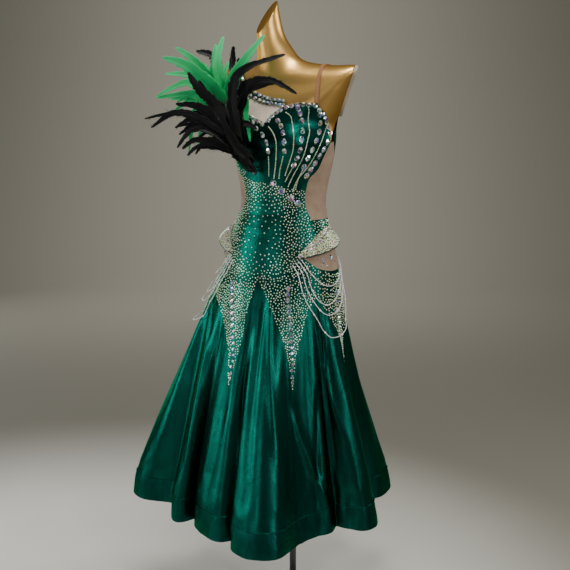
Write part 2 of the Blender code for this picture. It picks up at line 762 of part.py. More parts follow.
STRANDS = [
    Strand("upper", (
        (43, 2.62, 0.0077), (47.5, 2.33, 0.010), (52, 2.02, 0.013), (64, 1.72, 0.015), (76, 1.62, 0.016),
        (87, 1.74, 0.017), (100, 2.08, 0.014), (114, 2.50, 0.0077))),
    Strand("second", (
        (40, 2.56, 0.0077), (44.5, 2.25, 0.010), (49.5, 1.88, 0.013), (55.5, 1.44, 0.015), (63, 1.18, 0.017),
        (73, 1.12, 0.019), (86, 1.40, 0.020), (101, 1.80, 0.015), (115, 2.34, 0.0077))),
    Strand("third", (
        (37, 2.48, 0.0077), (42, 2.14, 0.010), (47.5, 1.66, 0.013), (54, 1.26, 0.015), (62, 0.95, 0.018),
        (72, 0.82, 0.022), (84, 1.04, 0.024), (101, 1.50, 0.018), (117, 2.18, 0.0077))),
    Strand("lowest", (
        (34, 2.38, 0.0077), (40, 1.90, 0.010), (46.5, 1.33, 0.013), (55, 0.82, 0.015), (65, 0.37, 0.018),
        (74, 0.17, 0.024), (86, 0.42, 0.027), (103, 1.16, 0.020), (118.5, 2.00, 0.0077))),
]
STRAND_RADIUS = 0.0018


def tube(name, points, radius, look, count=4):
    work = bmesh.new()
    rings = []
    side = None
    for k, point in enumerate(points):
        ahead = (points[min(k + 1, len(points) - 1)] - points[max(k - 1, 0)]).normalized()
        if side is None:
            side = ahead.orthogonal().normalized()
        side = (side - ahead * side.dot(ahead)).normalized()
        other = ahead.cross(side)
        turns = [2 * math.pi * n / count for n in range(count)]
        rings.append([work.verts.new(point + radius * (math.cos(t) * side + math.sin(t) * other)) for t in turns])
    for low, high in zip(rings, rings[1:]):
        for n in range(count):
            m = (n + 1) % count
            work.faces.new([low[n], low[m], high[m], high[n]])
    work.faces.new(list(reversed(rings[0])))
    work.faces.new(rings[-1])
    return finish(name, work, look)


def bead_strand(side, strand, look):
    points = []
    last = len(strand.path) - 1
    for k in range(last * 2 + 1):
        slot = k / 2
        low = min(int(slot), last - 1)
        near = [strand.path[min(max(low + n, 0), last)] for n in (-1, 0, 1, 2)]
        station, level, lift = (curve(*(p[a] for p in near), slot - low) for a in range(3))
        points.append(cloth_at(side * station, level) + cloth_normal(side * station, level) * lift)
    tube("%s_bead_strand_%s" % ("left" if side > 0 else "right", strand.name), points, STRAND_RADIUS, look)


# ---- feathers: each a blade from the backing through three points to its tip ----
class Feather(NamedTuple):
    """One feather: its widest width, a point near its root, two on its way and its tip."""

    width: float
    root: tuple
    low: tuple
    high: tuple
    tip: tuple


GREEN_FEATHERS = [
    Feather(0.020, (-0.155, -0.139, 1.520), (-0.197, -0.156, 1.517), (-0.241, -0.162, 1.486), (-0.261, -0.150, 1.417)),
    Feather(0.029, (-0.162, -0.137, 1.537), (-0.197, -0.145, 1.564), (-0.251, -0.156, 1.573), (-0.300, -0.171, 1.542)),
    Feather(0.038, (-0.153, -0.147, 1.548), (-0.194, -0.160, 1.578), (-0.247, -0.171, 1.592), (-0.336, -0.201, 1.581)),
    Feather(0.035, (-0.149, -0.158, 1.565), (-0.190, -0.175, 1.603), (-0.248, -0.188, 1.622), (-0.327, -0.213, 1.584)),
    Feather(0.032, (-0.137, -0.166, 1.576), (-0.178, -0.183, 1.619), (-0.226, -0.200, 1.644), (-0.286, -0.220, 1.647)),
    Feather(0.055, (-0.116, -0.175, 1.548), (-0.142, -0.209, 1.608), (-0.187, -0.247, 1.663), (-0.249, -0.274, 1.687)),
    Feather(0.035, (-0.127, -0.172, 1.576), (-0.162, -0.202, 1.646), (-0.199, -0.219, 1.688), (-0.240, -0.230, 1.716)),
    Feather(0.026, (-0.133, -0.152, 1.576), (-0.163, -0.166, 1.625), (-0.180, -0.169, 1.657), (-0.197, -0.162, 1.674)),
    Feather(0.032, (-0.127, -0.156, 1.565), (-0.150, -0.170, 1.619), (-0.154, -0.167, 1.679), (-0.157, -0.157, 1.725)),
    Feather(0.043, (-0.118, -0.159, 1.565), (-0.126, -0.171, 1.613), (-0.139, -0.176, 1.678), (-0.129, -0.159, 1.743)),
    Feather(0.043, (-0.103, -0.168, 1.565), (-0.092, -0.179, 1.618), (-0.056, -0.171, 1.682), (-0.012, -0.142, 1.745)),
    Feather(0.023, (-0.063, -0.176, 1.581), (-0.056, -0.177, 1.543), (-0.048, -0.176, 1.506), (-0.043, -0.174, 1.462)),
]
BLACK_FEATHERS = [
    Feather(0.023, (-0.033, -0.170, 1.380), (-0.045, -0.194, 1.409), (-0.059, -0.212, 1.426), (-0.077, -0.228, 1.437)),
    Feather(0.026, (-0.035, -0.188, 1.398), (-0.046, -0.223, 1.437), (-0.052, -0.243, 1.475), (-0.056, -0.256, 1.513)),
    Feather(0.029, (-0.054, -0.199, 1.431), (-0.099, -0.228, 1.458), (-0.165, -0.257, 1.468), (-0.205, -0.267, 1.444)),
    Feather(0.032, (-0.030, -0.197, 1.415), (-0.045, -0.234, 1.449), (-0.061, -0.259, 1.492), (-0.069, -0.275, 1.534)),
    Feather(0.029, (-0.058, -0.223, 1.448), (-0.112, -0.258, 1.493), (-0.163, -0.279, 1.496), (-0.205, -0.290, 1.447)),
    Feather(0.035, (-0.043, -0.238, 1.475), (-0.043, -0.266, 1.586), (-0.011, -0.261, 1.653), (0.085, -0.204, 1.693)),
    Feather(0.026, (-0.070, -0.213, 1.463), (-0.120, -0.245, 1.506), (-0.171, -0.266, 1.525), (-0.215, -0.284, 1.501)),
    Feather(0.032, (-0.040, -0.220, 1.565), (-0.018, -0.236, 1.612), (0.044, -0.215, 1.627), (0.104, -0.177, 1.591)),
    Feather(0.029, (-0.070, -0.224, 1.469), (-0.143, -0.269, 1.525), (-0.208, -0.297, 1.541), (-0.266, -0.323, 1.501)),
    Feather(0.035, (-0.059, -0.241, 1.502), (-0.093, -0.270, 1.565), (-0.130, -0.296, 1.607), (-0.153, -0.308, 1.648)),
    Feather(0.020, (-0.067, -0.234, 1.475), (-0.128, -0.272, 1.523), (-0.194, -0.307, 1.541), (-0.274, -0.344, 1.525)),
    Feather(0.026, (-0.056, -0.225, 1.528), (-0.062, -0.228, 1.633), (-0.073, -0.226, 1.675), (-0.073, -0.220, 1.722)),
    Feather(0.035, (-0.064, -0.238, 1.486), (-0.105, -0.268, 1.533), (-0.141, -0.290, 1.560), (-0.190, -0.316, 1.565)),
    Feather(0.026, (-0.061, -0.232, 1.533), (-0.100, -0.248, 1.644), (-0.124, -0.253, 1.696), (-0.170, -0.260, 1.710)),
]
BLACK_PAD = [(-20, 6.7), (-23, 6.98), (-26, 7.26), (-29, 7.54), (-32, 7.82), (-34, 8.1), (-36, 8.38), (-37, 8.66)]
GREEN_PAD = [(-54, 8.4), (-55, 8.7), (-55, 9.0), (-54, 9.3), (-52, 9.6), (-49, 9.9), (-45, 10.2)]
FACING = Vector((0.469, -0.883, 0.0))
BLADE = [(0.10, 0.22), (0.25, 0.40), (0.42, 0.80), (0.60, 1.00), (0.78, 0.85), (0.92, 0.45)]  # along, and width


def feathers(name, pad, rows, look):
    """A backing on the bodice with a blade growing from each of its faces."""
    work = bmesh.new()
    grid = []
    for station, level in pad:
        line = []
        for across in (-1, 0, 1):
            s = station + across * PAD_HALF_WIDTH
            spot, normal = cloth_at(s, level), cloth_normal(s, level)
            top = spot + normal * (LAYER + PAD_THICKNESS)
            line.append((work.verts.new(spot + normal * LAYER), work.verts.new(top)))
        grid.append(line)
    roots = []
    for low, high in zip(grid, grid[1:]):
        for k in (0, 1):
            work.faces.new([low[k][0], high[k][0], high[k + 1][0], low[k + 1][0]])
            roots.append([low[k][1], low[k + 1][1], high[k + 1][1], high[k][1]])
        for k, turn in ((0, 1), (2, -1)):
            side = [low[k][0], low[k][1], high[k][1], high[k][0]]
            work.faces.new(side[::turn])
    for row, turn in ((grid[0], -1), (grid[-1], 1)):
        for k in (0, 1):
            side = [row[k][0], row[k][1], row[k + 1][1], row[k + 1][0]]
            work.faces.new(side[::turn])
    for place, root in enumerate(roots):
        if place >= len(rows):
            work.faces.new(root)
            continue
        feather = rows[place]
        start = sum((v.co for v in root), Vector()) / 4
        spine = [start] + [Vector(p) for p in feather[1:]]
        ring = root
        for along, wide in BLADE:
            slot = along * (len(spine) - 1)
            low = min(int(slot), len(spine) - 2)
            near = [spine[min(max(low + n, 0), len(spine) - 1)] for n in (-1, 0, 1, 2)]
            point = Vector([curve(*(p[a] for p in near), slot - low) for a in range(3)])
            ahead = (spine[low + 1] - spine[low]).normalized()
            side = ahead.cross(FACING).normalized()
            up = side.cross(ahead).normalized()
            reach = feather.width / 2 * wide
            rise = up * BLADE_RISE
            corners = [point + side * reach, point + rise, point - side * reach, point - rise]
            if side.cross(up).dot(ahead) < 0:
                corners.reverse()
            best = min(range(4), key=lambda n: sum((corners[(i + n) % 4] - ring[i].co).length for i in range(4)))
            new = [work.verts.new(corners[(i + best) % 4]) for i in range(4)]
            for i in range(4):
                work.faces.new([ring[i], ring[(i + 1) % 4], new[(i + 1) % 4], new[i]])
            ring = new
        tip = work.verts.new(spine[-1])
        for i in range(4):
            work.faces.new([ring[i], ring[(i + 1) % 4], tip])
    return finish(name, work, look)


def build():
    for old in list(bpy.data.objects):
        bpy.data.objects.remove(old, do_unlink=True)
    green = material("satin", (0.010, 0.190, 0.130), 0.32, 0.35)
    band_green = material("hem_band", (0.015, 0.230, 0.160), 0.40, 0.20)
    nude = material("nude_mesh", (0.620, 0.370, 0.260), 0.60)
    gold = material("form_cover", (0.520, 0.300, 0.070), 0.38, 0.45)
    pale = material("arm_cap", (0.560, 0.500, 0.430), 0.55)
    black = material("pole_paint", (0.012, 0.012, 0.014), 0.35)
    crystal = material("crystal", (0.850, 0.860, 0.900), 0.12)
    feather_green = material("green_feather", (0.030, 0.480, 0.180), 0.55)
    feather_black = material("black_feather", (0.010, 0.012, 0.020), 0.50)

    form_torso(gold)
    arm_cap(1, pale)
    arm_cap(-1, pale)
    turned("form_pole", POLE_PROFILE, black, 24)
    turned("form_base", BASE_PROFILE, black)

    front_panel(green)
    back_panel(green)
    for side in (1, -1):
        hip_panel(side, green)
        hip_yoke(side, green)
        side_mesh(side, nude)
        window_mesh(side, nude)
        hip_flap(side, green)
        for strand in STRANDS:
            bead_strand(side, strand, crystal)
    chest_mesh(nude)
    for k in range(6):
        godet(k + 1, 60.0 * k, green)
        hem_band(k + 1, 60.0 * k, band_green)

    whole = form_shell()
    surface = BVHTree.FromBMesh(whole)
    whole.free()
    ribbon("left_strap", STRAP_PATH, STRAP_WIDTH, STRAP_LIFTS, nude, surface)
    ribbon("neck_band", BAND_PATH, NECK_BAND_WIDTH, NECK_BAND_LIFTS, green, surface, THICK_CLOTH)
    feathers("black_feathers", BLACK_PAD, BLACK_FEATHERS, feather_black)
    feathers("green_feathers", GREEN_PAD, GREEN_FEATHERS, feather_green)


if __name__ == "__main__":
    build()
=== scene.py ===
import math
import random

import bmesh
import bpy
from mathutils import Matrix, Vector, noise
from mathutils.bvhtree import BVHTree


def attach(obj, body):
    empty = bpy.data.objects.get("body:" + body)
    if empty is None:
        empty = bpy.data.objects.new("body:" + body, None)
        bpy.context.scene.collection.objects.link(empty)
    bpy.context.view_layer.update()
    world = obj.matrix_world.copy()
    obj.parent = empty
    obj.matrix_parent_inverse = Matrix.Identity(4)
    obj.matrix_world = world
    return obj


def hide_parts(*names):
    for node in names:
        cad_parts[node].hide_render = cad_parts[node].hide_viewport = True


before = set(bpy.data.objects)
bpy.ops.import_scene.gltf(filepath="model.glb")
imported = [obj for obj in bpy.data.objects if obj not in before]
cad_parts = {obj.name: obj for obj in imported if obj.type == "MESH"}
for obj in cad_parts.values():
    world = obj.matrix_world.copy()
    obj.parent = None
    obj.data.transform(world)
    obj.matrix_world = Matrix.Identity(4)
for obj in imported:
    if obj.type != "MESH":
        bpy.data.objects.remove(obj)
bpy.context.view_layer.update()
print("frame loaded")

# camera first: a longish lens, a little above the waist, to the wearer's left of the centre front
camera = {
    "azimuth": 28.0,
    "distance": 2.8,
    "height": 1.576,
    "pitch": 10.89,
    "lens": 60.78,
    "sensor": 36.0,
    "near": 0.05,
    "aimLeft": 0.506,  # degrees the view is turned so that the pole stands right of the middle
    "frame": 570,  # pixels across the square view
}


def cameraWays():
    # level ways away from the camera and to its right
    turn = math.radians(camera["azimuth"])
    return Vector((-math.sin(turn), math.cos(turn), 0)), Vector((math.cos(turn), math.sin(turn), 0))


def cameraFrame():
    # where the camera stands, the way it looks, its right and its up
    yaw, pitch = math.radians(camera["aimLeft"]), math.radians(camera["pitch"])
    away, right = cameraWays()
    place = Vector((0, 0, camera["height"])) - away * camera["distance"]
    away, right = away * math.cos(yaw) - right * math.sin(yaw), right * math.cos(yaw) + away * math.sin(yaw)
    look = away * math.cos(pitch) - Vector((0, 0, math.sin(pitch)))
    return place, look, right, right.cross(look)


def addCamera():
    data = bpy.data.cameras.new("camera")
    data.lens = camera["lens"]
    data.sensor_width = camera["sensor"]
    data.clip_start = camera["near"]
    eye = bpy.data.objects.new("camera", data)
    bpy.context.collection.objects.link(eye)
    place, look, right, up = cameraFrame()
    spin = Matrix((right, up, -look)).transposed().to_4x4()
    eye.matrix_world = Matrix.Translation(place) @ spin
    bpy.context.scene.camera = eye


def inView(point):
    # the pixel of the view at which a point shows
    place, look, right, up = cameraFrame()
    away = point - place
    scale = camera["frame"] * camera["lens"] / camera["sensor"] / away.dot(look)
    middle = camera["frame"] / 2
    return Vector((middle + away.dot(right) * scale, middle - away.dot(up) * scale))


def seenAt(x, y, nearer):
    # the point that shows at a pixel of the view, so many metres nearer to the camera than the pole
    place, look, right, up = cameraFrame()
    away = cameraWays()[0]
    middle = camera["frame"] / 2
    aside = (right * (x - middle) + up * (middle - y)) / camera["frame"]
    sight = look + aside * camera["sensor"] / camera["lens"]
    return place - sight * (nearer + place.dot(away)) / sight.dot(away)


addCamera()

# the body's rings: a level is a place in this table, counted from 0 at the foot
# heights at side, front and back, half width, reach to front and back, squareness, shift in x and y
formRings = [
    (0.985, 0.985, 0.985, 0.160, 0.105, 0.115, 2.0, -0.020, -0.045),
    (1.020, 1.020, 1.020, 0.174, 0.118, 0.130, 2.0, -0.020, -0.045),
    (1.100, 1.100, 1.100, 0.172, 0.119, 0.130, 2.0, -0.020, -0.045),
    (1.160, 1.160, 1.160, 0.158, 0.113, 0.118, 2.0, -0.018, -0.044),
    (1.220, 1.220, 1.220, 0.139, 0.103, 0.101, 2.0, -0.015, -0.042),
    (1.280, 1.280, 1.280, 0.1235, 0.0935, 0.090, 2.0, -0.012, -0.040),
    (1.340, 1.340, 1.340, 0.128, 0.097, 0.093, 2.0, -0.012, -0.038),
    (1.400, 1.400, 1.400, 0.141, 0.105, 0.101, 2.0, -0.012, -0.036),
    (1.460, 1.460, 1.460, 0.149, 0.111, 0.106, 2.0, -0.012, -0.034),
    (1.515, 1.515, 1.515, 0.150, 0.105, 0.108, 2.2, -0.012, -0.031),
    (1.565, 1.550, 1.560, 0.180, 0.094, 0.100, 2.6, -0.012, -0.030),
    (1.625, 1.585, 1.600, 0.215, 0.080, 0.085, 3.0, -0.012, -0.030),
    (1.666, 1.615, 1.640, 0.236, 0.064, 0.066, 3.0, -0.012, -0.031),
    (1.670, 1.636, 1.662, 0.150, 0.058, 0.058, 2.4, -0.014, -0.033),
    (1.684, 1.655, 1.684, 0.075, 0.052, 0.056, 2.0, -0.026, -0.037),
    (1.720, 1.705, 1.718, 0.050, 0.047, 0.050, 2.0, -0.039, -0.040),
    (1.770, 1.765, 1.770, 0.037, 0.040, 0.042, 2.0, -0.053, -0.045),
    (1.870, 1.870, 1.870, 0.034, 0.036, 0.037, 2.0, -0.066, -0.055),
]
bust = {"angle": 30.0, "height": 1.462, "rise": 0.028, "wide": 20.0, "tall": 0.045}
cloth = {"flareTop": 1.10, "hem": 0.36, "band": 0.07, "tongueTip": 0.775, "ease": 0.004, "net": 0.0008}
# the hem in plan, four points to a flute: rise, crest, fall, valley
hemFlutes = [
    ((-0.448, -0.085), (-0.480, -0.162), (-0.415, -0.210), (-0.305, -0.193)),
    ((-0.275, -0.250), (-0.243, -0.292), (-0.214, -0.295), (-0.190, -0.250)),
    ((-0.164, -0.292), (-0.117, -0.330), (-0.050, -0.352), (-0.010, -0.318)),
    ((0.010, -0.372), (0.077, -0.402), (0.143, -0.368), (0.152, -0.285)),
    ((0.158, -0.240), (0.178, -0.188), (0.200, -0.152), (0.196, -0.104)),
    ((0.230, -0.100), (0.286, -0.088), (0.288, -0.022), (0.217, 0.042)),
    ((0.198, 0.102), (0.226, 0.160), (0.218, 0.243), (0.155, 0.232)),
    ((0.155, 0.280), (0.148, 0.338), (0.102, 0.346), (0.072, 0.280)),
    ((0.042, 0.343), (0.004, 0.380), (-0.041, 0.365), (-0.070, 0.290)),
    ((-0.101, 0.340), (-0.141, 0.350), (-0.186, 0.315), (-0.187, 0.245)),
    ((-0.232, 0.280), (-0.287, 0.265), (-0.308, 0.210), (-0.275, 0.148)),
    ((-0.340, 0.152), (-0.397, 0.122), (-0.410, 0.058), (-0.360, -0.012)),
]
# share of the way down, how far the flare and the folds have opened, sway to the wearer's right
skirtDrops = [
    (0.00, 0.00, 0.00, 0.000),
    (0.06, 0.065, 0.01, 0.006),
    (0.15, 0.160, 0.06, 0.009),
    (0.30, 0.310, 0.22, 0.011),
    (0.45, 0.460, 0.40, 0.012),
    (0.60, 0.620, 0.60, 0.010),
    (0.75, 0.780, 0.79, 0.007),
    (0.90, 0.935, 0.93, 0.004),
    (1.00, 1.000, 1.00, 0.000),
]
swayWay = Vector((-0.883, -0.469))
# below the ring the skirt flares from, a level is a tenth of a metre
flareLevel = 2.0
lowest = flareLevel - (cloth["flareTop"] - cloth["hem"]) * 10
bandTop = lowest + cloth["band"] * 10
tip = flareLevel - (cloth["flareTop"] - cloth["tongueTip"]) * 10
apex = 1.8  # where two tongues part
apexDrop = 0.42  # how much lower the apexes are away from the front


def curve(a, b, c, d, t):
    return ((-t + 2 * t * t - t**3) * a + (2 - 5 * t * t + 3 * t**3) * b
            + (t + 4 * t * t - 3 * t**3) * c + (-t * t + t**3) * d) / 2


def onCurve(rows, place):
    last = len(rows) - 1
    place = min(max(place, 0.0), float(last))
    low = min(int(place), last - 1)
    near = [rows[min(max(k, 0), last)] for k in (low - 1, low, low + 1, low + 2)]
    return [curve(*column, place - low) for column in zip(*near)]


def bodyAt(angle, level):
    side, front, back, halfWidth, frontReach, backReach, square, shiftX, shiftY = onCurve(formRings, level)
    s, c = math.sin(math.radians(angle)), math.cos(math.radians(angle))
    power = 2.0 / square
    x = math.copysign(abs(s) ** power, s) * halfWidth
    y = -math.copysign(abs(c) ** power, c) * (frontReach if c >= 0 else backReach)
    z = side * s * s + (front if c >= 0 else back) * c * c
    wrapped = (angle + 180.0) % 360.0 - 180.0
    for hand in (-1, 1):
        across = (wrapped - hand * bust["angle"]) / bust["wide"]
        up = (z - bust["height"]) / bust["tall"]
        rise = bust["rise"] * math.exp(-(across**2 + up**2))
        x += rise * s
        y -= rise * c
    return Vector((x + shiftX, y + shiftY, z))


hemPoints = [point for flute in hemFlutes for point in flute]
hemLook = {"first": -82.5, "every": 7.5, "step": 0.25, "apart": 20, "reach": 7}


def rawHem(station):
    place = (station - hemLook["first"]) / hemLook["every"]
    low = math.floor(place)
    near = [hemPoints[(low + k) % len(hemPoints)] for k in (-1, 0, 1, 2)]
    return Vector([curve(*(p[axis] for p in near), place - low) for axis in (0, 1)])


def tableHem():
    # the hem in small steps, each with the middle of the flutes round it
    reach = hemLook["reach"]
    points = [rawHem(k * hemLook["step"]) for k in range(int(360 / hemLook["step"]))]
    weights = [(n, 1 + math.cos(math.pi * n / reach)) for n in range(1 - reach, reach)]
    rows = []
    for k, point in enumerate(points):
        total = Vector((0, 0))
        for n, weight in weights:
            total += points[(k + n * hemLook["apart"]) % len(points)] * weight
        rows.append((point, total / sum(weight for n, weight in weights)))
    return rows


hemTable = tableHem()


def hemAt(station):
    place = (station % 360.0) / hemLook["step"]
    low = int(place)
    a, b = hemTable[low % len(hemTable)], hemTable[(low + 1) % len(hemTable)]
    return a[0].lerp(b[0], place - low), a[1].lerp(b[1], place - low)


dropCount = 200
dropTable = []
for k in range(dropCount + 1):
    down = k / dropCount
    row = max(i for i, drop in enumerate(skirtDrops[:-1]) if drop[0] <= down)
    place = row + (down - skirtDrops[row][0]) / (skirtDrops[row + 1][0] - skirtDrops[row][0])
    dropTable.append(onCurve(skirtDrops, place)[1:])


def clothAt(station, level):
    if level >= flareLevel:
        return bodyAt(station, level)
    top = bodyAt(station, flareLevel)
    height = cloth["flareTop"] + (level - flareLevel) / 10
    down = min(max((cloth["flareTop"] - height) / (cloth["flareTop"] - cloth["hem"]), 0.0), 1.0) * dropCount
    low = min(int(down), dropCount - 1)
    flare, fold, sway = (a + (b - a) * (down - low) for a, b in zip(dropTable[low], dropTable[low + 1]))
    edge, middle = hemAt(station)
    start = Vector((top.x, top.y))
    plan = start + (middle - start) * flare + (edge - middle) * fold + swayWay * sway
    return Vector((plan.x, plan.y, height))


def clothNormal(station, level):
    roundIt = clothAt(station + 0.5, level) - clothAt(station - 0.5, level)
    low = min(max(level - 0.03, lowest), 16.9)
    return roundIt.cross(clothAt(station, low + 0.06) - clothAt(station, low)).normalized()


# the seams in front hang to the wearer's left of where they start: station, share of the lean
lean = {"most": 21.0, "depth": 2.5, "sunk": 60.0}
leanShares = [
    (-180, 0.0), (-92, 0.0), (-60, 0.45), (-45, 0.95), (-8, 0.95), (8, 0.45), (24, 0.22), (40, 0.2),
    (60, 0.0), (180, 0.0),
]


def seamSpot(station, level):
    # where a place on the cut hangs: leaning in front, and lower at every apex but the front one
    if level >= flareLevel:
        return station, level
    wrapped = (station + 180.0) % 360.0 - 180.0
    near, far = next((a, b) for a, b in zip(leanShares, leanShares[1:]) if a[0] <= wrapped <= b[0])
    share = near[1] + (far[1] - near[1]) * (wrapped - near[0]) / (far[0] - near[0])
    down = math.sin(math.pi / 2 * min((flareLevel - level) / lean["depth"], 1.0))
    if level < tip:
        down = (1 + math.cos(math.pi * (tip - level) / (tip - bandTop))) / 2 if level > bandTop else 0.0
    spot = station + lean["most"] * share * down
    if level <= tip:
        return spot, level
    sink = (flareLevel - level) / (flareLevel - apex) if level > apex else (level - tip) / (apex - tip)
    return spot, level - apexDrop * min(abs(wrapped) / lean["sunk"], 1.0) * sink


# creases listed one by one: along is station for the level ones, level for the hanging ones
levelCreases = [  # station from, to, level at each, half width in levels, height in metres
    (-40, 35, 5.55, 5.35, 0.10, 0.0009),
    (-38, 20, 5.20, 5.05, 0.09, -0.0009),
    (5, 52, 4.95, 5.25, 0.10, 0.0010),
    (-36, 48, 4.62, 4.75, 0.12, -0.0008),
    (-50, 10, 4.15, 3.85, 0.12, 0.0009),
    (8, 58, 3.55, 3.95, 0.13, 0.0009),
    (-55, -5, 3.40, 3.05, 0.14, -0.0008),
    (128, 235, 5.40, 5.55, 0.11, 0.0011),
    (120, 215, 4.85, 4.70, 0.12, -0.0010),
    (140, 240, 4.25, 4.45, 0.13, 0.0010),
    (125, 235, 7.10, 7.30, 0.16, 0.0008),
]
hangingCreases = [  # level from, to, station at each, half width in degrees, height in metres
    (1.4, -0.7, -57.0, -42.5, 2.2, 0.0060),
    (0.1, -4.4, -43.0, -38.0, 2.4, 0.0065),
    (0.9, -4.2, -68.0, -66.0, 2.6, 0.0060),
    (0.4, -4.4, -52.0, -50.0, 2.0, -0.0050),
    (0.2, -4.5, -27.0, -24.0, 2.2, 0.0050),
    (-1.0, -4.6, -10.0, -15.0, 3.0, -0.0070),
    (1.8, -2.9, 0.0, -8.0, 4.5, 0.0070),
    (1.7, -0.2, -8.0, -2.0, 1.2, 0.0022),
    (-1.5, -4.8, -3.0, 3.0, 2.0, 0.0045),
    (1.7, -4.9, 10.5, 14.0, 2.6, -0.0070),
    (1.6, -3.2, 16.0, 24.0, 1.5, 0.0048),
    (-1.4, -4.9, 32.0, 54.0, 2.2, 0.0065),
    (-1.0, -4.6, 54.0, 46.0, 2.4, -0.0060),
    (1.3, -3.0, 57.0, 73.0, 2.4, 0.0065),
    (0.6, -4.0, 64.0, 66.0, 1.8, -0.0045),
    (-0.6, -4.7, 77.0, 79.0, 2.0, 0.0055),
    (1.0, -3.6, 101.0, 97.0, 2.2, 0.0055),
    (0.6, -4.4, 113.0, 110.0, 2.2, -0.0050),
    (0.9, -3.0, 131.0, 128.0, 2.4, 0.0060),
    (0.4, -4.4, 145.0, 146.0, 2.2, -0.0055),
    (0.5, -3.4, 158.0, 160.0, 2.2, 0.0055),
    (0.2, -4.5, 173.0, 171.0, 2.0, -0.0045),
    (0.9, -2.8, 187.0, 190.0, 2.4, 0.0060),
    (0.2, -4.4, 205.0, 203.0, 2.2, -0.0055),
    (0.6, -3.6, 218.0, 221.0, 2.2, 0.0055),
    (0.3, -4.5, 234.0, 236.0, 2.0, -0.0050),
    (0.9, -3.0, 250.0, 246.0, 2.4, 0.0060),
    (0.4, -4.4, 266.0, 264.0, 2.2, -0.0050),
    (0.5, -3.2, 281.0, 279.0, 2.2, 0.0055),
]
ripples = {  # scale round the body and up it, place in the noise, height in metres
    "body": (0.05, 1.6, 3.0, 0.0006),
    "broad": (0.09, 0.35, 7.0, 0.0020),
    "long": (0.31, 0.22, 11.0, 0.0007),
    "short": (0.20, 1.3, 17.0, 0.0006),
    "pucker": (0.26, 2.6, 29.0, 0.0022),  # the cloth crumples above the stiff hem band
}
puckerFrom = -3.3
rippleSpan = {"body": (flareLevel, 6.4, 1.0), "skirt": (lowest - 2.0, flareLevel, 1.5)}


def rippleAt(name, station, level):
    around, up, place, height = ripples[name]
    return height * noise.noise(Vector((station * around, level * up, place)))


def fade(value, low, high, soft):
    return min(max(min(value - low, high - value) / soft, 0.0), 1.0)


def creaseAt(station, level):
    total = 0.0
    signed = (station + 180.0) % 360.0 - 180.0
    if level > flareLevel:
        for a, b, levelA, levelB, wide, high in levelCreases:
            place = signed if b < 180 else signed % 360.0
            if a < place < b:
                t = (place - a) / (b - a)
                across = (level - (levelA + (levelB - levelA) * t)) / wide
                total += high * math.exp(-across * across) * fade(place, a, b, 12.0)
        return total + rippleAt("body", signed, level) * fade(level, *rippleSpan["body"])
    for high, low, stationA, stationB, wide, rise in hangingCreases:
        if low < level < high:
            t = (level - high) / (low - high)
            gap = (station - (stationA + (stationB - stationA) * t) + 180.0) % 360.0 - 180.0
            total += rise * math.exp(-((gap / wide) ** 2)) * fade(level, low, high, 0.9)
    skirt = sum(rippleAt(name, signed, level) for name in ("broad", "long", "short"))
    crumpled = min(max(puckerFrom - level, 0.0), 1.0) ** 2
    return total + skirt * fade(level, *rippleSpan["skirt"]) + rippleAt("pucker", signed, level) * crumpled


def onCloth(station, level, lift=0.0):
    out = cloth["ease"] + creaseAt(station, level) + lift
    return clothAt(station, level) + clothNormal(station, level) * out


def onCut(station, level, lift=0.0):
    # a place on the cut, where it hangs
    return onCloth(*seamSpot(station, level), lift)


def offForm(station, level, lift):
    return clothAt(station, level) + clothNormal(station, level) * lift


print("cloth surface ready")


# node groups shared by the materials


def link(tree, source, target):
    tree.links.new(source, target)


def newGroup(name, ins, outs):
    tree = bpy.data.node_groups.new(name, "ShaderNodeTree")
    for label, kind, value in ins:
        socket = tree.interface.new_socket(name=label, in_out="INPUT", socket_type=kind)
        if value is not None:
            socket.default_value = value
    for label, kind in outs:
        tree.interface.new_socket(name=label, in_out="OUTPUT", socket_type=kind)
    return tree, tree.nodes.new("NodeGroupInput"), tree.nodes.new("NodeGroupOutput")


def mathNode(tree, operation, a, b):
    node = tree.nodes.new("ShaderNodeMath")
    node.operation = operation
    for socket, value in zip(node.inputs, (a, b)):
        if isinstance(value, (int, float)):
            socket.default_value = value
        else:
            link(tree, value, socket)
    return node.outputs[0]


def addMix(tree, factor, first, second):
    # each is a colour or a socket
    mix = tree.nodes.new("ShaderNodeMix")
    mix.data_type = "RGBA"
    link(tree, factor, mix.inputs["Factor"])
    for socket, value in ((mix.inputs[6], first), (mix.inputs[7], second)):
        if isinstance(value, tuple):
            socket.default_value = (*value, 1)
        else:
            link(tree, value, socket)
    return mix.outputs[2]


def makeWeave():
    tree, ins, outs = newGroup(
        "weave", [("Vector", "NodeSocketVector", None), ("Threads", "NodeSocketFloat", 900.0)],
        [("Height", "NodeSocketFloat")])
    waves = []
    for way in ("X", "Z"):
        wave = tree.nodes.new("ShaderNodeTexWave")
        wave.bands_direction = way
        wave.inputs["Distortion"].default_value = 0.4
        link(tree, ins.outputs["Vector"], wave.inputs["Vector"])
        link(tree, ins.outputs["Threads"], wave.inputs["Scale"])
        waves.append(wave.outputs["Fac"])
    link(tree, mathNode(tree, "MULTIPLY", waves[0], waves[1]), outs.inputs["Height"])
    return tree


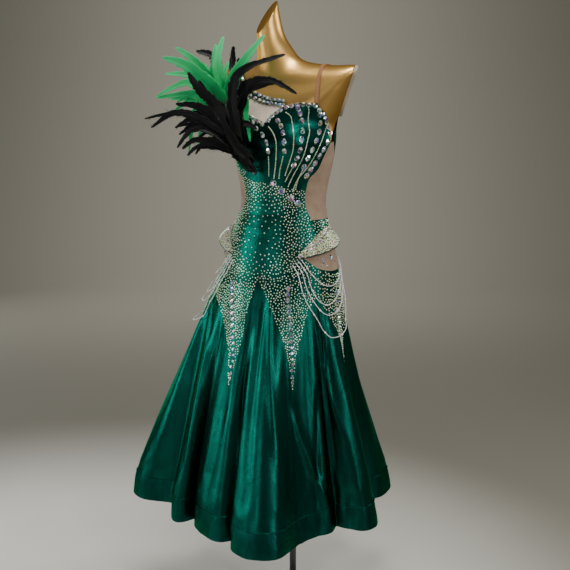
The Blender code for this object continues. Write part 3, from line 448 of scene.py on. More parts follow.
def makeMottle():
    tree, ins, outs = newGroup(
        "mottle",
        [("Vector", "NodeSocketVector", None), ("Scale", "NodeSocketFloat", 10.0),
         ("Dark", "NodeSocketColor", (0, 0, 0, 1)), ("Light", "NodeSocketColor", (1, 1, 1, 1))],
        [("Color", "NodeSocketColor"), ("Mask", "NodeSocketFloat")])
    spots = tree.nodes.new("ShaderNodeTexNoise")
    spots.inputs["Detail"].default_value = 5.0
    spots.inputs["Roughness"].default_value = 0.6
    link(tree, ins.outputs["Vector"], spots.inputs["Vector"])
    link(tree, ins.outputs["Scale"], spots.inputs["Scale"])
    ramp = tree.nodes.new("ShaderNodeMapRange")
    ramp.inputs["From Min"].default_value = 0.36
    ramp.inputs["From Max"].default_value = 0.66
    link(tree, spots.outputs["Fac"], ramp.inputs["Value"])
    mixed = addMix(tree, ramp.outputs["Result"], ins.outputs["Dark"], ins.outputs["Light"])
    link(tree, mixed, outs.inputs["Color"])
    link(tree, ramp.outputs["Result"], outs.inputs["Mask"])
    return tree


weaveGroup = makeWeave()
mottleGroup = makeMottle()


def newMaterial(name, roughness, metallic=0.0):
    made = bpy.data.materials.new(name)
    made.use_nodes = True
    shader = made.node_tree.nodes["Principled BSDF"]
    shader.inputs["Roughness"].default_value = roughness
    shader.inputs["Metallic"].default_value = metallic
    return made, made.node_tree, shader


def placed(tree, group):
    node = tree.nodes.new("ShaderNodeGroup")
    node.node_tree = group
    return node


def objectCoords(tree):
    return tree.nodes.new("ShaderNodeTexCoord").outputs["Object"]


def addTone(tree, look, vector):
    tone = placed(tree, mottleGroup)
    tone.inputs["Scale"].default_value = look["mottle"]
    tone.inputs["Dark"].default_value = (*look["dark"], 1)
    tone.inputs["Light"].default_value = (*look["light"], 1)
    link(tree, vector, tone.inputs["Vector"])
    return tone


def addBump(tree, shader, height, strength, distance):
    bump = tree.nodes.new("ShaderNodeBump")
    bump.inputs["Strength"].default_value = strength
    bump.inputs["Distance"].default_value = distance
    link(tree, height, bump.inputs["Height"])
    link(tree, bump.outputs["Normal"], shader.inputs["Normal"])


def makeStreaks():
    tree, ins, outs = newGroup(
        "streaks", [("Vector", "NodeSocketVector", None), ("Scale", "NodeSocketFloat", 60.0),
                    ("Stretch", "NodeSocketFloat", 0.06)],
        [("Height", "NodeSocketFloat")])
    split = tree.nodes.new("ShaderNodeSeparateXYZ")
    link(tree, ins.outputs["Vector"], split.inputs["Vector"])
    join = tree.nodes.new("ShaderNodeCombineXYZ")
    link(tree, split.outputs["X"], join.inputs["X"])
    link(tree, split.outputs["Y"], join.inputs["Y"])
    link(tree, mathNode(tree, "MULTIPLY", split.outputs["Z"], ins.outputs["Stretch"]), join.inputs["Z"])
    threads = tree.nodes.new("ShaderNodeTexNoise")
    threads.inputs["Detail"].default_value = 4.0
    threads.inputs["Roughness"].default_value = 0.65
    link(tree, join.outputs["Vector"], threads.inputs["Vector"])
    link(tree, ins.outputs["Scale"], threads.inputs["Scale"])
    link(tree, threads.outputs["Fac"], outs.inputs["Height"])
    return tree


streakGroup = makeStreaks()


def fabric(name, look):
    made, tree, shader = newMaterial(name, look["roughness"], look.get("metallic", 0.0))
    coords = objectCoords(tree)
    drawn = tree.nodes.new("ShaderNodeMapping")
    drawn.inputs["Scale"].default_value = (1.0, 1.0, look.get("long", 1.0))
    link(tree, coords, drawn.inputs["Vector"])
    tone = addTone(tree, look, drawn.outputs["Vector"])
    link(tree, tone.outputs["Color"], shader.inputs["Base Color"])
    threads = placed(tree, weaveGroup)
    threads.inputs["Threads"].default_value = look["threads"]
    link(tree, coords, threads.inputs["Vector"])
    height = mathNode(tree, "ADD", mathNode(tree, "MULTIPLY", threads.outputs["Height"], look["weave"]),
                      mathNode(tree, "MULTIPLY", tone.outputs["Mask"], look["rumple"]))
    if "streak" in look:
        streaks = placed(tree, streakGroup)
        streaks.inputs["Scale"].default_value = look["streakScale"]
        streaks.inputs["Stretch"].default_value = look["stretch"]
        link(tree, coords, streaks.inputs["Vector"])
        raised = mathNode(tree, "MULTIPLY", streaks.outputs["Height"], look["streak"])
        height = mathNode(tree, "ADD", height, raised)
    addBump(tree, shader, height, 1.0, 0.001)
    shine = tree.nodes.new("ShaderNodeMapRange")
    shine.inputs["To Min"].default_value = look["roughness"] + 0.06
    shine.inputs["To Max"].default_value = look["roughness"] - 0.05
    link(tree, tone.outputs["Mask"], shine.inputs["Value"])
    link(tree, shine.outputs["Result"], shader.inputs["Roughness"])
    if "edge" in look:
        shader.inputs["Specular Tint"].default_value = (*look["edge"], 1)
    shader.inputs["Sheen Weight"].default_value = look.get("sheen", 0.0)
    shader.inputs["Sheen Roughness"].default_value = 0.4
    return made


satin = fabric("satin", {
    "dark": (0.0006, 0.058, 0.043), "light": (0.0012, 0.090, 0.067), "mottle": 30.0, "long": 0.05,
    "roughness": 0.26, "metallic": 1.0, "threads": 420.0, "weave": 0.06, "rumple": 0.0,
    "streak": 0.7, "streakScale": 60.0, "stretch": 0.03, "edge": (0.05, 0.75, 0.52)})
bandSatin = fabric("hemBand", {
    "dark": (0.0010, 0.044, 0.034), "light": (0.0020, 0.074, 0.058), "mottle": 30.0, "long": 0.3,
    "roughness": 0.28, "metallic": 1.0, "threads": 160.0, "weave": 0.25, "rumple": 0.0,
    "streak": 0.9, "streakScale": 50.0, "stretch": 0.3, "edge": (0.05, 0.65, 0.45)})
flapCloth = fabric("flapCloth", {
    "dark": (0.120, 0.120, 0.070), "light": (0.360, 0.350, 0.240), "mottle": 60.0, "roughness": 0.32,
    "metallic": 0.4, "threads": 300.0, "weave": 0.2, "rumple": 0.2})
nudeMesh = fabric("nudeMesh", {
    "dark": (0.270, 0.180, 0.115), "light": (0.340, 0.238, 0.160), "mottle": 30.0, "roughness": 0.62,
    "threads": 380.0, "weave": 0.30, "rumple": 0.2, "sheen": 0.1})
chestNet = fabric("chestNet", {
    "dark": (0.740, 0.590, 0.480), "light": (0.840, 0.700, 0.590), "mottle": 26.0, "roughness": 0.6,
    "threads": 380.0, "weave": 0.30, "rumple": 0.2, "sheen": 0.1})
goldCover = fabric("goldCover", {
    "dark": (0.700, 0.420, 0.125), "light": (0.820, 0.500, 0.160), "mottle": 3.0, "roughness": 0.32,
    "metallic": 0.97, "threads": 500.0, "weave": 0.04, "rumple": 0.0, "edge": (0.80, 0.50, 0.16)})
strapSatin = fabric("strapSatin", {
    "dark": (0.240, 0.100, 0.036), "light": (0.320, 0.145, 0.056), "mottle": 20.0, "roughness": 0.4,
    "threads": 400.0, "weave": 0.2, "rumple": 0.2, "sheen": 0.1})
binding = fabric("binding", {
    "dark": (0.002, 0.012, 0.009), "light": (0.004, 0.026, 0.020), "mottle": 25.0, "roughness": 0.5,
    "threads": 400.0, "weave": 0.3, "rumple": 0.2})


def plastic(name, look):
    made, tree, shader = newMaterial(name, look["roughness"])
    tone = addTone(tree, look, objectCoords(tree))
    link(tree, tone.outputs["Color"], shader.inputs["Base Color"])
    addBump(tree, shader, tone.outputs["Mask"], look["bump"], 0.0006)
    shader.inputs["Coat Weight"].default_value = look.get("coat", 0.0)
    return made


capPlastic = plastic("armCap", {
    "dark": (0.330, 0.270, 0.200), "light": (0.420, 0.350, 0.270), "mottle": 18.0,
    "roughness": 0.5, "bump": 0.2})
polePaint = plastic("polePaint", {
    "dark": (0.008, 0.008, 0.010), "light": (0.020, 0.020, 0.023), "mottle": 40.0, "roughness": 0.32,
    "bump": 0.1, "coat": 0.4})


def crystal(name, colours, roughness, metallic):
    made, tree, shader = newMaterial(name, roughness, metallic)
    uv = tree.nodes.new("ShaderNodeUVMap")
    uv.uv_map = "hue"
    split = tree.nodes.new("ShaderNodeSeparateXYZ")
    link(tree, uv.outputs["UV"], split.inputs["Vector"])
    ramp = tree.nodes.new("ShaderNodeValToRGB")
    ramp.color_ramp.interpolation = "CONSTANT"
    for k, colour in enumerate(colours):
        point = ramp.color_ramp.elements[k] if k < 2 else ramp.color_ramp.elements.new(k / len(colours))
        point.position = k / len(colours)
        point.color = (*colour, 1)
    link(tree, split.outputs["X"], ramp.inputs["Fac"])
    link(tree, ramp.outputs["Color"], shader.inputs["Base Color"])
    shader.inputs["Coat Weight"].default_value = 0.4
    shader.inputs["Coat Roughness"].default_value = 0.05
    shader.inputs["IOR"].default_value = 1.7
    return made


tintAndGlintStone = crystal("crystalTintsPaintedGlints", [  # the first half for the facets, bright and near-black greys that are painted glints and painted dark reflections, the second for the tables' tints
    (0.80, 0.83, 0.84), (0.16, 0.18, 0.20), (0.78, 0.80, 0.74), (0.05, 0.06, 0.07), (0.86, 0.86, 0.82),
    (0.34, 0.42, 0.40), (0.30, 0.13, 0.56), (0.60, 0.24, 0.40), (0.16, 0.50, 0.38), (0.12, 0.14, 0.16),
    (0.72, 0.60, 0.26), (0.18, 0.34, 0.66)], 0.10, 0.6)
goldStone = crystal("crystalGold", [
    (0.80, 0.88, 0.56), (0.62, 0.80, 0.46), (0.92, 0.94, 0.72), (0.80, 0.86, 0.62), (0.52, 0.74, 0.52),
    (0.95, 0.97, 0.84), (0.80, 0.70, 0.48), (0.84, 0.94, 0.86)], 0.16, 0.2)
pearlStone = crystal("crystalPearl", [
    (0.86, 0.86, 0.86), (0.74, 0.80, 0.78), (0.90, 0.86, 0.82), (0.80, 0.76, 0.84)], 0.20, 0.1)


def featherLook(name, dark, light, tipTone):
    made, tree, shader = newMaterial(name, 0.38)
    shader.inputs["Specular IOR Level"].default_value = 0.2
    uv = tree.nodes.new("ShaderNodeUVMap")
    uv.uv_map = "vane"
    barbs = tree.nodes.new("ShaderNodeTexWave")
    barbs.bands_direction = "Y"
    barbs.inputs["Scale"].default_value = 34.0
    barbs.inputs["Distortion"].default_value = 2.5
    barbs.inputs["Detail"].default_value = 2.0
    link(tree, uv.outputs["UV"], barbs.inputs["Vector"])
    split = tree.nodes.new("ShaderNodeSeparateXYZ")
    link(tree, uv.outputs["UV"], split.inputs["Vector"])
    tone = addMix(tree, barbs.outputs["Fac"], dark, light)
    ends = addMix(tree, mathNode(tree, "POWER", split.outputs["Y"], 3.0), tone, tipTone)
    link(tree, ends, shader.inputs["Base Color"])
    addBump(tree, shader, barbs.outputs["Fac"], 0.35, 0.0003)
    return made


greenFeather = featherLook(
    "featherGreen", (0.012, 0.330, 0.085), (0.020, 0.470, 0.135), (0.045, 0.600, 0.220))
blackFeather = featherLook(
    "featherBlack", (0.0006, 0.0007, 0.0010), (0.0020, 0.0026, 0.0030), (0.0030, 0.0050, 0.0050))
print("materials ready")


# building helpers


def newPiece(name, work, material, node=None):
    mesh = bpy.data.meshes.new(name)
    work.to_mesh(mesh)
    work.free()
    mesh.materials.append(material)
    piece = bpy.data.objects.new(name, mesh)
    bpy.context.collection.objects.link(piece)
    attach(piece, "root")
    if node:
        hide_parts(node)
    return piece


def keep(name, work, material, node=None, sharpAt=None):
    piece = newPiece(name, work, material, node)
    piece.data.shade_smooth()
    if sharpAt:
        piece.data.set_sharp_from_angle(angle=math.radians(sharpAt))
    return piece


def addWall(piece, thick, offset):
    wall = piece.modifiers.new("wall", "SOLIDIFY")
    wall.thickness = thick
    wall.offset = offset


def paint(layer, verts, spotAt):
    # what spotAt says for each corner goes into the uv map
    for vert in verts:
        for face in vert.link_faces:
            for loop in face.loops:
                if loop.vert is vert:
                    loop[layer].uv = spotAt(vert)


def aheadAt(points, k):
    last = len(points) - 1
    return (points[min(k + 1, last)] - points[max(k - 1, 0)]).normalized()


def blend(a, b, t):
    return tuple(p + (q - p) * t for p, q in zip(a, b))


def along(knots):
    return lambda t: tuple(onCurve(knots, t * (len(knots) - 1)))


def straight(a, b):
    return lambda t: blend(a, b, t)


def quilt(foot, head, near=None, far=None):
    # a patch between four edges, each a curve of (station, level)
    near = near or straight(foot(0), head(0))
    far = far or straight(foot(1), head(1))
    corners = (foot(0), foot(1), head(0), head(1))

    def spot(u, v):
        rows = blend(foot(u), head(u), v)
        columns = blend(near(v), far(v), u)
        square = blend(blend(corners[0], corners[1], u), blend(corners[2], corners[3], u), v)
        return tuple(p + q - r for p, q, r in zip(rows, columns, square))

    return spot


def stack(near, far):
    return quilt(straight(near(0), far(0)), straight(near(1), far(1)), near, far)


def gridPatch(work, spot, columns, rows, lift):
    made = bmesh.ops.create_grid(work, x_segments=columns, y_segments=rows, size=0.5)["verts"]
    for vert in made:
        vert.co = onCut(*spot(vert.co.x + 0.5, vert.co.y + 0.5), lift)


def tube(work, points, radius, sides=8):
    # a round cord through the points
    made = bmesh.ops.create_grid(work, x_segments=sides, y_segments=len(points) - 1, size=0.5)["verts"]
    side = None
    frames = []
    for k, point in enumerate(points):
        ahead = aheadAt(points, k)
        side = ahead.orthogonal() if side is None else side
        side = (side - ahead * side.dot(ahead)).normalized()
        frames.append((point, side, ahead.cross(side)))
    for vert in made:
        point, one, other = frames[round((vert.co.y + 0.5) * (len(points) - 1))]
        turn = math.tau * (vert.co.x + 0.5)
        vert.co = point + (one * math.cos(turn) + other * math.sin(turn)) * radius
    bmesh.ops.remove_doubles(work, verts=made, dist=0.00001)
    return [vert for vert in made if vert.is_valid]


def lineLength(spot, places):
    points = [onCut(*spot(u, v)) for u, v in places]
    return sum((b - a).length for a, b in zip(points, points[1:]))


def flatSize(tiers):
    # the flat width and length of what the patches cover: the widest tier, and the tiers end to end
    widths = [sum(lineLength(patch[0], [(u / 60, v) for u in range(61)]) for patch in tier)
              for tier in tiers for v in (0.0, 0.5, 1.0)]
    lengths = [max(lineLength(patch[0], [(0.5, v / 10) for v in range(11)]) for patch in tier)
               for tier in tiers]
    return max(widths), sum(lengths)


def clothPiece(name, node, tiers, material,
               thick=0.0012, lift=0.0015):
    # tiers from the foot up, each a list of the patches (spot, columns, rows) that lie side by side in it
    work = bmesh.new()
    for tier in tiers:
        for spot, columns, rows in tier:
            gridPatch(work, spot, columns, rows, lift)
    bmesh.ops.remove_doubles(work, verts=work.verts, dist=0.00008)
    bmesh.ops.dissolve_degenerate(work, dist=0.00002, edges=work.edges)
    for edge in work.edges:
        edge.smooth = not edge.is_boundary
    area = sum(face.calc_area() for face in work.faces)
    width, length = flatSize(tiers)
    print(name, "flat", round(width, 3), round(length, 3), "area", round(area, 4))
    piece = keep(name, work, material, node)
    addWall(piece, thick, -1.0)


# the cut, as the solids have it: the edges two panels share, as (station, level) from the foot up
leftEdge = {
    "hip": [(60, 1.8), (60, 1.95), (60, 2.22)],
    "windowFoot": [(60, 2.22), (54, 2.42), (45, 2.70)],
    "windowHead": [(45, 2.70), (52.5, 2.84), (60, 2.98)],
    "yoke": [(60, 2.98), (60, 3.34), (60, 3.70), (60, 4.06), (62, 4.42)],
    "side": [(62, 4.42), (56.9, 4.76), (53.5, 5.11), (52.1, 5.55), (53, 5.93), (56, 6.40), (65.9, 6.79),
             (73, 7.37), (82.7, 7.98)],
}
rightEdge = {key: [(-station, level) for station, level in knots] for key, knots in leftEdge.items()}
rightEdge["side"] = [(-62, 4.42), (-50, 4.76), (-42.6, 5.11), (-39.1, 5.55), (-38, 5.93), (-45, 6.40),
                     (-56, 6.79), (-66, 7.37), (-78, 7.98)]
backEdge = {
    "hip": [(120, 1.8), (120, 1.92), (119, 2.04)],
    "window": [(119, 2.04), (117, 2.48), (114.5, 2.91), (112, 3.35)],
    "yoke": [(112, 3.35), (112, 3.62), (112, 3.88), (112, 4.15), (112, 4.42)],
    "side": [(112, 4.42), (112, 4.76), (112, 5.11), (112, 5.55), (112, 5.93), (112, 6.40), (110.5, 6.79),
             (104, 7.37), (91, 8.05)],
}
neckline = [
    [(-78.5, 8.25), (-75, 8.85), (-69, 9.35), (-60, 9.70), (-50, 9.90), (-40, 10.0), (-30, 9.95),
     (-21, 9.62), (-10, 9.25), (-0.3, 8.94)],
    [(-0.3, 8.94), (4, 9.55), (9, 10.14), (15, 10.28), (22, 10.37), (32, 10.3), (41, 10.2), (54.5, 9.80),
     (66, 9.50), (74, 9.15), (80, 8.70), (83, 8.30)],
]
backNeck = [(94, 8.50), (105, 8.70), (118, 9.00), (132, 9.65), (148, 9.90), (164, 9.78), (180, 9.70)]
windowFoot = [(60, 2.22), (70, 2.10), (80, 2.04), (90, 2.03), (100, 2.03), (110, 2.03), (119, 2.04)]
yokeFoot = [(60, 2.98), (68.7, 3.06), (77.3, 3.13), (86, 3.20), (94.7, 3.26), (103.3, 3.31), (112, 3.35)]
chestTop = [(-17, 11.9), (-15, 11.7), (-12, 11.4), (-8, 11.0), (-1, 10.6), (9, 10.14)]
chestFoot = neckline[0][4:]
chestSide = neckline[1][:3]
tongueMiddles = (-90, -30, 30, 90, 150, 210)


def tongueHalf(level):
    # a tongue is narrower than a straight wedge towards its tip
    down = (apex - level) / (apex - tip)
    return 30.0 * (1 - down) / (1 + 0.55 * down)


def tongueEdge(middle, hand):
    def edge(t):
        level = tip + (apex - tip) * t
        return middle + hand * tongueHalf(level), level

    return edge


def tonguePatch(middle):
    return stack(tongueEdge(middle, -1), tongueEdge(middle, 1)), 30, 44


def across(hand, knots):
    # an edge that runs round the body, on either side of it, always from low station to high
    return along(knots if hand > 0 else [(-station, level) for station, level in knots[::-1]])


def upright(hand, knots):
    return along([(hand * station, level) for station, level in knots])


def sidePair(hand, key):
    front = along((leftEdge if hand > 0 else rightEdge)[key])
    back = upright(hand, backEdge[key])
    return (front, back) if hand > 0 else (back, front)


def buildBodice():
    rows = {"hip": 5, "windowFoot": 6, "windowHead": 4, "yoke": 18, "side": 52}
    tiers = []
    for key, count in rows.items():
        right, left = along(rightEdge[key]), along(leftEdge[key])
        top = -0.3 if key == "side" else 0.0
        middle = straight((0.0, leftEdge[key][0][1]), (top, leftEdge[key][-1][1]))
        tiers.append([(stack(right, middle), 30, count), (stack(middle, left), 30, count)])
    bottom, split = [(-78, 7.98), (82.7, 7.98)], (-0.3, 7.98)
    tiers.append([(quilt(straight(bottom[0], split), along(neckline[0])), 30, 20),
                  (quilt(straight(split, bottom[1]), along(neckline[1])), 30, 20)])
    tiers.append([tonguePatch(-30.0), tonguePatch(30.0)])
    clothPiece("frontPanel", "front_panel", tiers, satin)
    rows = {"hip": 4, "window": 12, "yoke": 12, "side": 46}
    far = {key: [(360 - station, level) for station, level in backEdge[key]] for key in rows}
    tiers = [[(stack(along(backEdge[key]), along(far[key])), 60, count)] for key, count in rows.items()]
    neck = backNeck + [(360 - station, level) for station, level in backNeck[-2::-1]]
    tiers.append([(quilt(straight((91, 8.05), (269, 8.05)), along(neck)), 60, 14)])
    tiers.append([tonguePatch(150.0), tonguePatch(210.0)])
    clothPiece("backPanel", "back_panel", tiers, satin)
    side = along(chestSide)
    clothPiece("chestMesh", "chest_mesh", [[(quilt(along(chestFoot), along(chestTop), None, side), 24, 14)]],
               chestNet, thick=cloth["net"])


def buildSide(hand):
    name = "left" if hand > 0 else "right"
    feet = straight((60, apex), (120, apex)) if hand > 0 else straight((-120, apex), (-60, apex))
    near, far = sidePair(hand, "hip")
    clothPiece(name + "HipPanel", name + "_hip_panel", [
        [(quilt(feet, across(hand, windowFoot), near, far), 30, 6)],
        [tonguePatch(90.0 * hand)]], satin)
    near, far = sidePair(hand, "yoke")
    waist = across(hand, [(62, 4.42), (78.7, 4.42), (95.3, 4.42), (112, 4.42)])
    clothPiece(name + "HipYoke", name + "_hip_yoke", [
        [(quilt(across(hand, yokeFoot), waist, near, far), 28, 18)]], satin)
    near, far = sidePair(hand, "side")
    clothPiece(name + "SideMesh", name + "_side_mesh", [[(stack(near, far), 28, 52)]],
               nudeMesh, thick=cloth["net"])
    corner = leftEdge["windowFoot"][::-1], leftEdge["windowHead"]
    ends = straight((60 * hand, 2.22), (60 * hand, 2.98))
    back = upright(hand, backEdge["window"])
    middle = (ends, back) if hand > 0 else (back, ends)
    clothPiece(name + "HipMesh", name + "_hip_mesh", [[
        (quilt(across(hand, windowFoot), across(hand, yokeFoot), *middle), 28, 12),
        (quilt(across(hand, corner[0]), across(hand, corner[1])), 10, 12)]],
        nudeMesh, thick=cloth["net"])


welt = {"radius": 0.0013, "lift": 0.0026, "steps": 480}  # the stitched edge where the hem band joins on


def buildSkirt():
    for k in range(6):
        middle = 60.0 * k
        low, high = middle - 30, middle + 30
        upper = stack(tongueEdge(low, 1), tongueEdge(high, -1))
        lower = quilt(straight((low, bandTop), (high, bandTop)), straight((low, tip), (high, tip)))
        clothPiece("godet%d" % (k + 1), "godet_%d" % (k + 1), [[(lower, 84, 40)], [(upper, 84, 42)]],
                   satin)
        edge = quilt(straight((low, lowest), (high, lowest)), straight((low, bandTop), (high, bandTop)))
        clothPiece("hemBand%d" % (k + 1), "hem_band_%d" % (k + 1), [[(edge, 84, 8)]], bandSatin,
                   thick=0.0014, lift=0.0016)
    work = bmesh.new()
    ring = [onCloth(360 * k / welt["steps"], bandTop, welt["lift"]) for k in range(welt["steps"] + 1)]
    tube(work, ring, welt["radius"], 6)
    bmesh.ops.recalc_face_normals(work, faces=work.faces)
    keep("bandWelt", work, satin)


buildBodice()
buildSide(1)
buildSide(-1)
buildSkirt()
print("dress panels done")

# the dress form: a smooth shell, sliced flat at the neck and shoulders
formCuts = [  # point, outward normal, side, height below which the cut leaves the form alone
    ((0.2047, -0.031, 1.6661), (0.8608, 0.4089, -0.3032), 1, 1.5149),
    ((-0.2287, -0.031, 1.6661), (-0.8608, 0.4089, -0.3032), -1, 1.5149),
    ((-0.0513, -0.0952, 1.760), (-0.52, -0.62, 0.55), 0, 1.69),
]
formBuild = {"around": 96, "rows": 136, "edge": 0.0022}
capBuild = {"size": 0.985, "gap": 0.0003, "depth": 0.0090, "edge": 0.003}


def shellMesh():
    work = bmesh.new()
    around, rows = formBuild["around"], formBuild["rows"]
    made = bmesh.ops.create_grid(work, x_segments=around, y_segments=rows, size=0.5)
    for vert in made["verts"]:
        vert.co = bodyAt(360.0 * (vert.co.x + 0.5), (len(formRings) - 1) * (vert.co.y + 0.5))
    bmesh.ops.remove_doubles(work, verts=work.verts, dist=0.0001)
    return work


def sliceShell(work, point, normal, hand, above):
    faces = [f for f in work.faces if min(v.co.z for v in f.verts) > above]
    if hand:
        faces = [f for f in faces if f.calc_center_median().x * hand > 0.05]
    parts = set(faces)
    for face in faces:
        parts.update(face.verts)
        parts.update(face.edges)
    done = bmesh.ops.bisect_plane(work, geom=list(parts), plane_co=point, plane_no=normal, clear_outer=True)
    edges = [e for e in done["geom_cut"] if isinstance(e, bmesh.types.BMEdge) and e.is_boundary]
    before = set(work.faces)
    bmesh.ops.edgeloop_fill(work, edges=edges)
    return next(f for f in work.faces if f not in before)


def softenRim(work, edges, offset, segments):
    bmesh.ops.bevel(work, geom=edges, offset=offset, segments=segments, profile=0.5,
                    affect="EDGES", material=-1)


def buildForm():
    work = shellMesh()
    surface = BVHTree.FromBMesh(work)
    outlines = []
    rims = []
    for cut in formCuts:
        face = sliceShell(work, *cut)
        outlines.append([v.co.copy() for v in face.verts])
        rims += list(face.edges)
    softenRim(work, rims, formBuild["edge"], 2)
    bmesh.ops.edgeloop_fill(work, edges=[e for e in work.edges if e.is_boundary])
    keep("formTorso", work, goldCover, "form_torso", 50)
    for side, cut, outline in zip(("left", "right"), formCuts, outlines):
        addArmCap(side, Vector(cut[1]).normalized(), outline)
    return surface


def addArmCap(side, out, outline):
    cap = bmesh.new()
    centre = sum(outline, Vector()) / len(outline)
    first = cap.faces.new([cap.verts.new(centre + (p - centre) * capBuild["size"] + out * capBuild["gap"])
                           for p in outline])
    grown = bmesh.ops.extrude_face_region(cap, geom=[first])["geom"]
    moved = [v for v in grown if isinstance(v, bmesh.types.BMVert)]
    bmesh.ops.translate(cap, verts=moved, vec=out * capBuild["depth"])
    softenRim(cap, [e for e in cap.edges if all(v in moved for v in e.verts)], capBuild["edge"], 4)
    bmesh.ops.recalc_face_normals(cap, faces=cap.faces)
    keep(side + "ArmCap", cap, capPlastic, "form_arm_cap_" + side, 40)


def turned(name, node, profile, material):
    # a solid of revolution about the pole's axis
    work = bmesh.new()
    points = [work.verts.new((radius, 0, height)) for radius, height in profile]
    edges = [work.edges.new(pair) for pair in zip(points, points[1:])]
    bmesh.ops.spin(work, geom=points + edges, cent=(0, 0, 0), axis=(0, 0, 1), angle=math.tau, steps=64)
    bmesh.ops.remove_doubles(work, verts=work.verts, dist=0.00005)
    bmesh.ops.recalc_face_normals(work, faces=work.faces)
    rims = [e for e in work.edges if len(e.link_faces) == 2 and e.calc_face_angle() > math.radians(40)]
    softenRim(work, rims, 0.0008, 2)
    keep(name, work, material, node, 50)


# half outlines of the pole and its base, as (radius, height)
poleProfile = [(0, 0.0303), (0.0105, 0.0303), (0.0105, 0.9847), (0, 0.9847)]
baseProfile = [
    (0, 0), (0.156, 0.0), (0.160, 0.004), (0.160, 0.014), (0.152, 0.020), (0.026, 0.022), (0.022, 0.030),
    (0, 0.030),
]
formSurface = buildForm()
turned("pole", "form_pole", poleProfile, polePaint)
turned("base", "form_base", baseProfile, polePaint)
print("form done")

# ribbons: the strap and the jewelled neck band, each with its lift off the form from end to end
strapPath = [
    (0.127, -0.1085, 1.5668), (0.126, -0.101, 1.595), (0.124, -0.084, 1.640), (0.121, -0.055, 1.675),
    (0.119, -0.025, 1.684), (0.117, 0.010, 1.672), (0.114, 0.038, 1.640), (0.109, 0.058, 1.600),
    (0.105, 0.066, 1.572), (0.101, 0.073, 1.545), (0.098, 0.078, 1.522),
]
strapLifts = [0.004, 0.003, 0.0018, 0.0010, 0.0006, 0.0010, 0.0018, 0.003, 0.004, 0.0068, 0.0074]
bandPath = [
    (0.035, -0.124, 1.567), (-0.002, -0.122, 1.571), (-0.036, -0.119, 1.579), (-0.080, -0.111, 1.597),
    (-0.112, -0.098, 1.623), (-0.130, -0.078, 1.652), (-0.137, -0.050, 1.674), (-0.138, -0.022, 1.682),
    (-0.137, 0.012, 1.670), (-0.132, 0.038, 1.640), (-0.127, 0.058, 1.600), (-0.122, 0.066, 1.572),
    (-0.118, 0.072, 1.545), (-0.115, 0.076, 1.520),
]
bandLifts = [0.0072, 0.0072, 0.0072, 0.0072, 0.0058, 0.003, 0.0016, 0.0007, 0.0014, 0.0018, 0.003, 0.004,
             0.0068, 0.0074]
strapSize = (0.011, 0.0015)  # width and thickness
bandSize = (0.018, 0.002)
ribbonSteps = (8, 72)  # faces across and along


def ribbonSpot(path, lifts, t, side, extra):
    # a point of a ribbon that follows the form: along it, to one side of its middle, and above it
    here = Vector(along(path)(t))
    ahead = Vector(along(path)(min(t + 0.01, 1))) - Vector(along(path)(max(t - 0.01, 0)))
    normal = formSurface.find_nearest(here)[1]
    across = ahead.cross(normal).normalized()
    spot, normal = formSurface.find_nearest(here + across * side)[:2]
    lift = onCurve([(value,) for value in lifts], t * (len(lifts) - 1))[0]
    return spot + normal * (lift + extra), normal, ahead.normalized()


def ribbon(name, node, path, lifts, size, material):
    width, thick = size
    work = bmesh.new()
    wide, long = ribbonSteps
    made = bmesh.ops.create_grid(work, x_segments=wide, y_segments=long, size=0.5)["verts"]
    for vert in made:
        vert.co = ribbonSpot(path, lifts, vert.co.y + 0.5, vert.co.x * width, thick)[0]
    bmesh.ops.reverse_faces(work, faces=work.faces)
    area = sum(face.calc_area() for face in work.faces)
    piece = keep(name, work, material, node)
    addWall(piece, thick, 1.0)


ribbon("leftStrap", "left_strap", strapPath, strapLifts, strapSize, strapSatin)
ribbon("neckBand", "neck_band", bandPath, bandLifts, bandSize, satin)
print("ribbons done")

# hip flaps: ribs from the free edge to the seam, as (station, level, height off the form)
flapFree = [(40, 2.70, 0.0072), (49, 2.74, 0.0088), (60, 2.82, 0.0110), (74, 2.93, 0.0145),
            (89, 3.05, 0.0185), (103, 3.18, 0.0200), (114, 3.32, 0.0190)]
flapSeam = [(39, 2.80, 0.0060), (50, 3.22, 0.0060), (60, 3.56, 0.0060), (68.7, 3.79, 0.0061),
            (77.3, 3.95, 0.0062), (86, 4.05, 0.0064), (94.7, 4.08, 0.0070)]
flapFlare = {1: 1.0, -1: 3.3}  # how much further the free edge stands out, left and right
flapBuild = {"thick": 0.002, "flat": (0.150, 0.085), "across": 42, "up": 16, "binding": 0.0022}


def handed(hand, knots):
    return knots if hand > 0 else [(-knot[0], *knot[1:]) for knot in knots[::-1]]


def flapSpot(hand, extra):
    root = flapFree[0][2]
    free = [(station, level, root + (lift - root) * flapFlare[hand]) for station, level, lift in flapFree]
    spot = quilt(along(handed(hand, free)), along(handed(hand, flapSeam)))

    def place(u, v):
        station, level, lift = spot(u, v)
        return offForm(station, level, lift + extra)

    return place


def buildFlap(hand):
    name = "left" if hand > 0 else "right"
    look = flapBuild
    place = flapSpot(hand, look["thick"])
    work = bmesh.new()
    made = bmesh.ops.create_grid(work, x_segments=look["across"], y_segments=look["up"], size=0.5)["verts"]
    for vert in made:
        vert.co = place(vert.co.x + 0.5, vert.co.y + 0.5)
    area = sum(face.calc_area() for face in work.faces)
    piece = keep(name + "HipFlap", work, flapCloth, name + "_hip_flap")
    addWall(piece, look["thick"], -1.0)
    edge = bmesh.new()
    middle = flapSpot(hand, look["thick"] / 2)
    rim = [middle(k / 30, 0) for k in range(31)]
    end = 1 if hand > 0 else 0
    rim = rim if hand > 0 else rim[::-1]
    rim += [middle(end, k / 10) for k in range(1, 11)]
    tube(edge, rim, look["binding"])
    keep(name + "FlapBinding", edge, binding)


buildFlap(1)
buildFlap(-1)
print("flaps done")
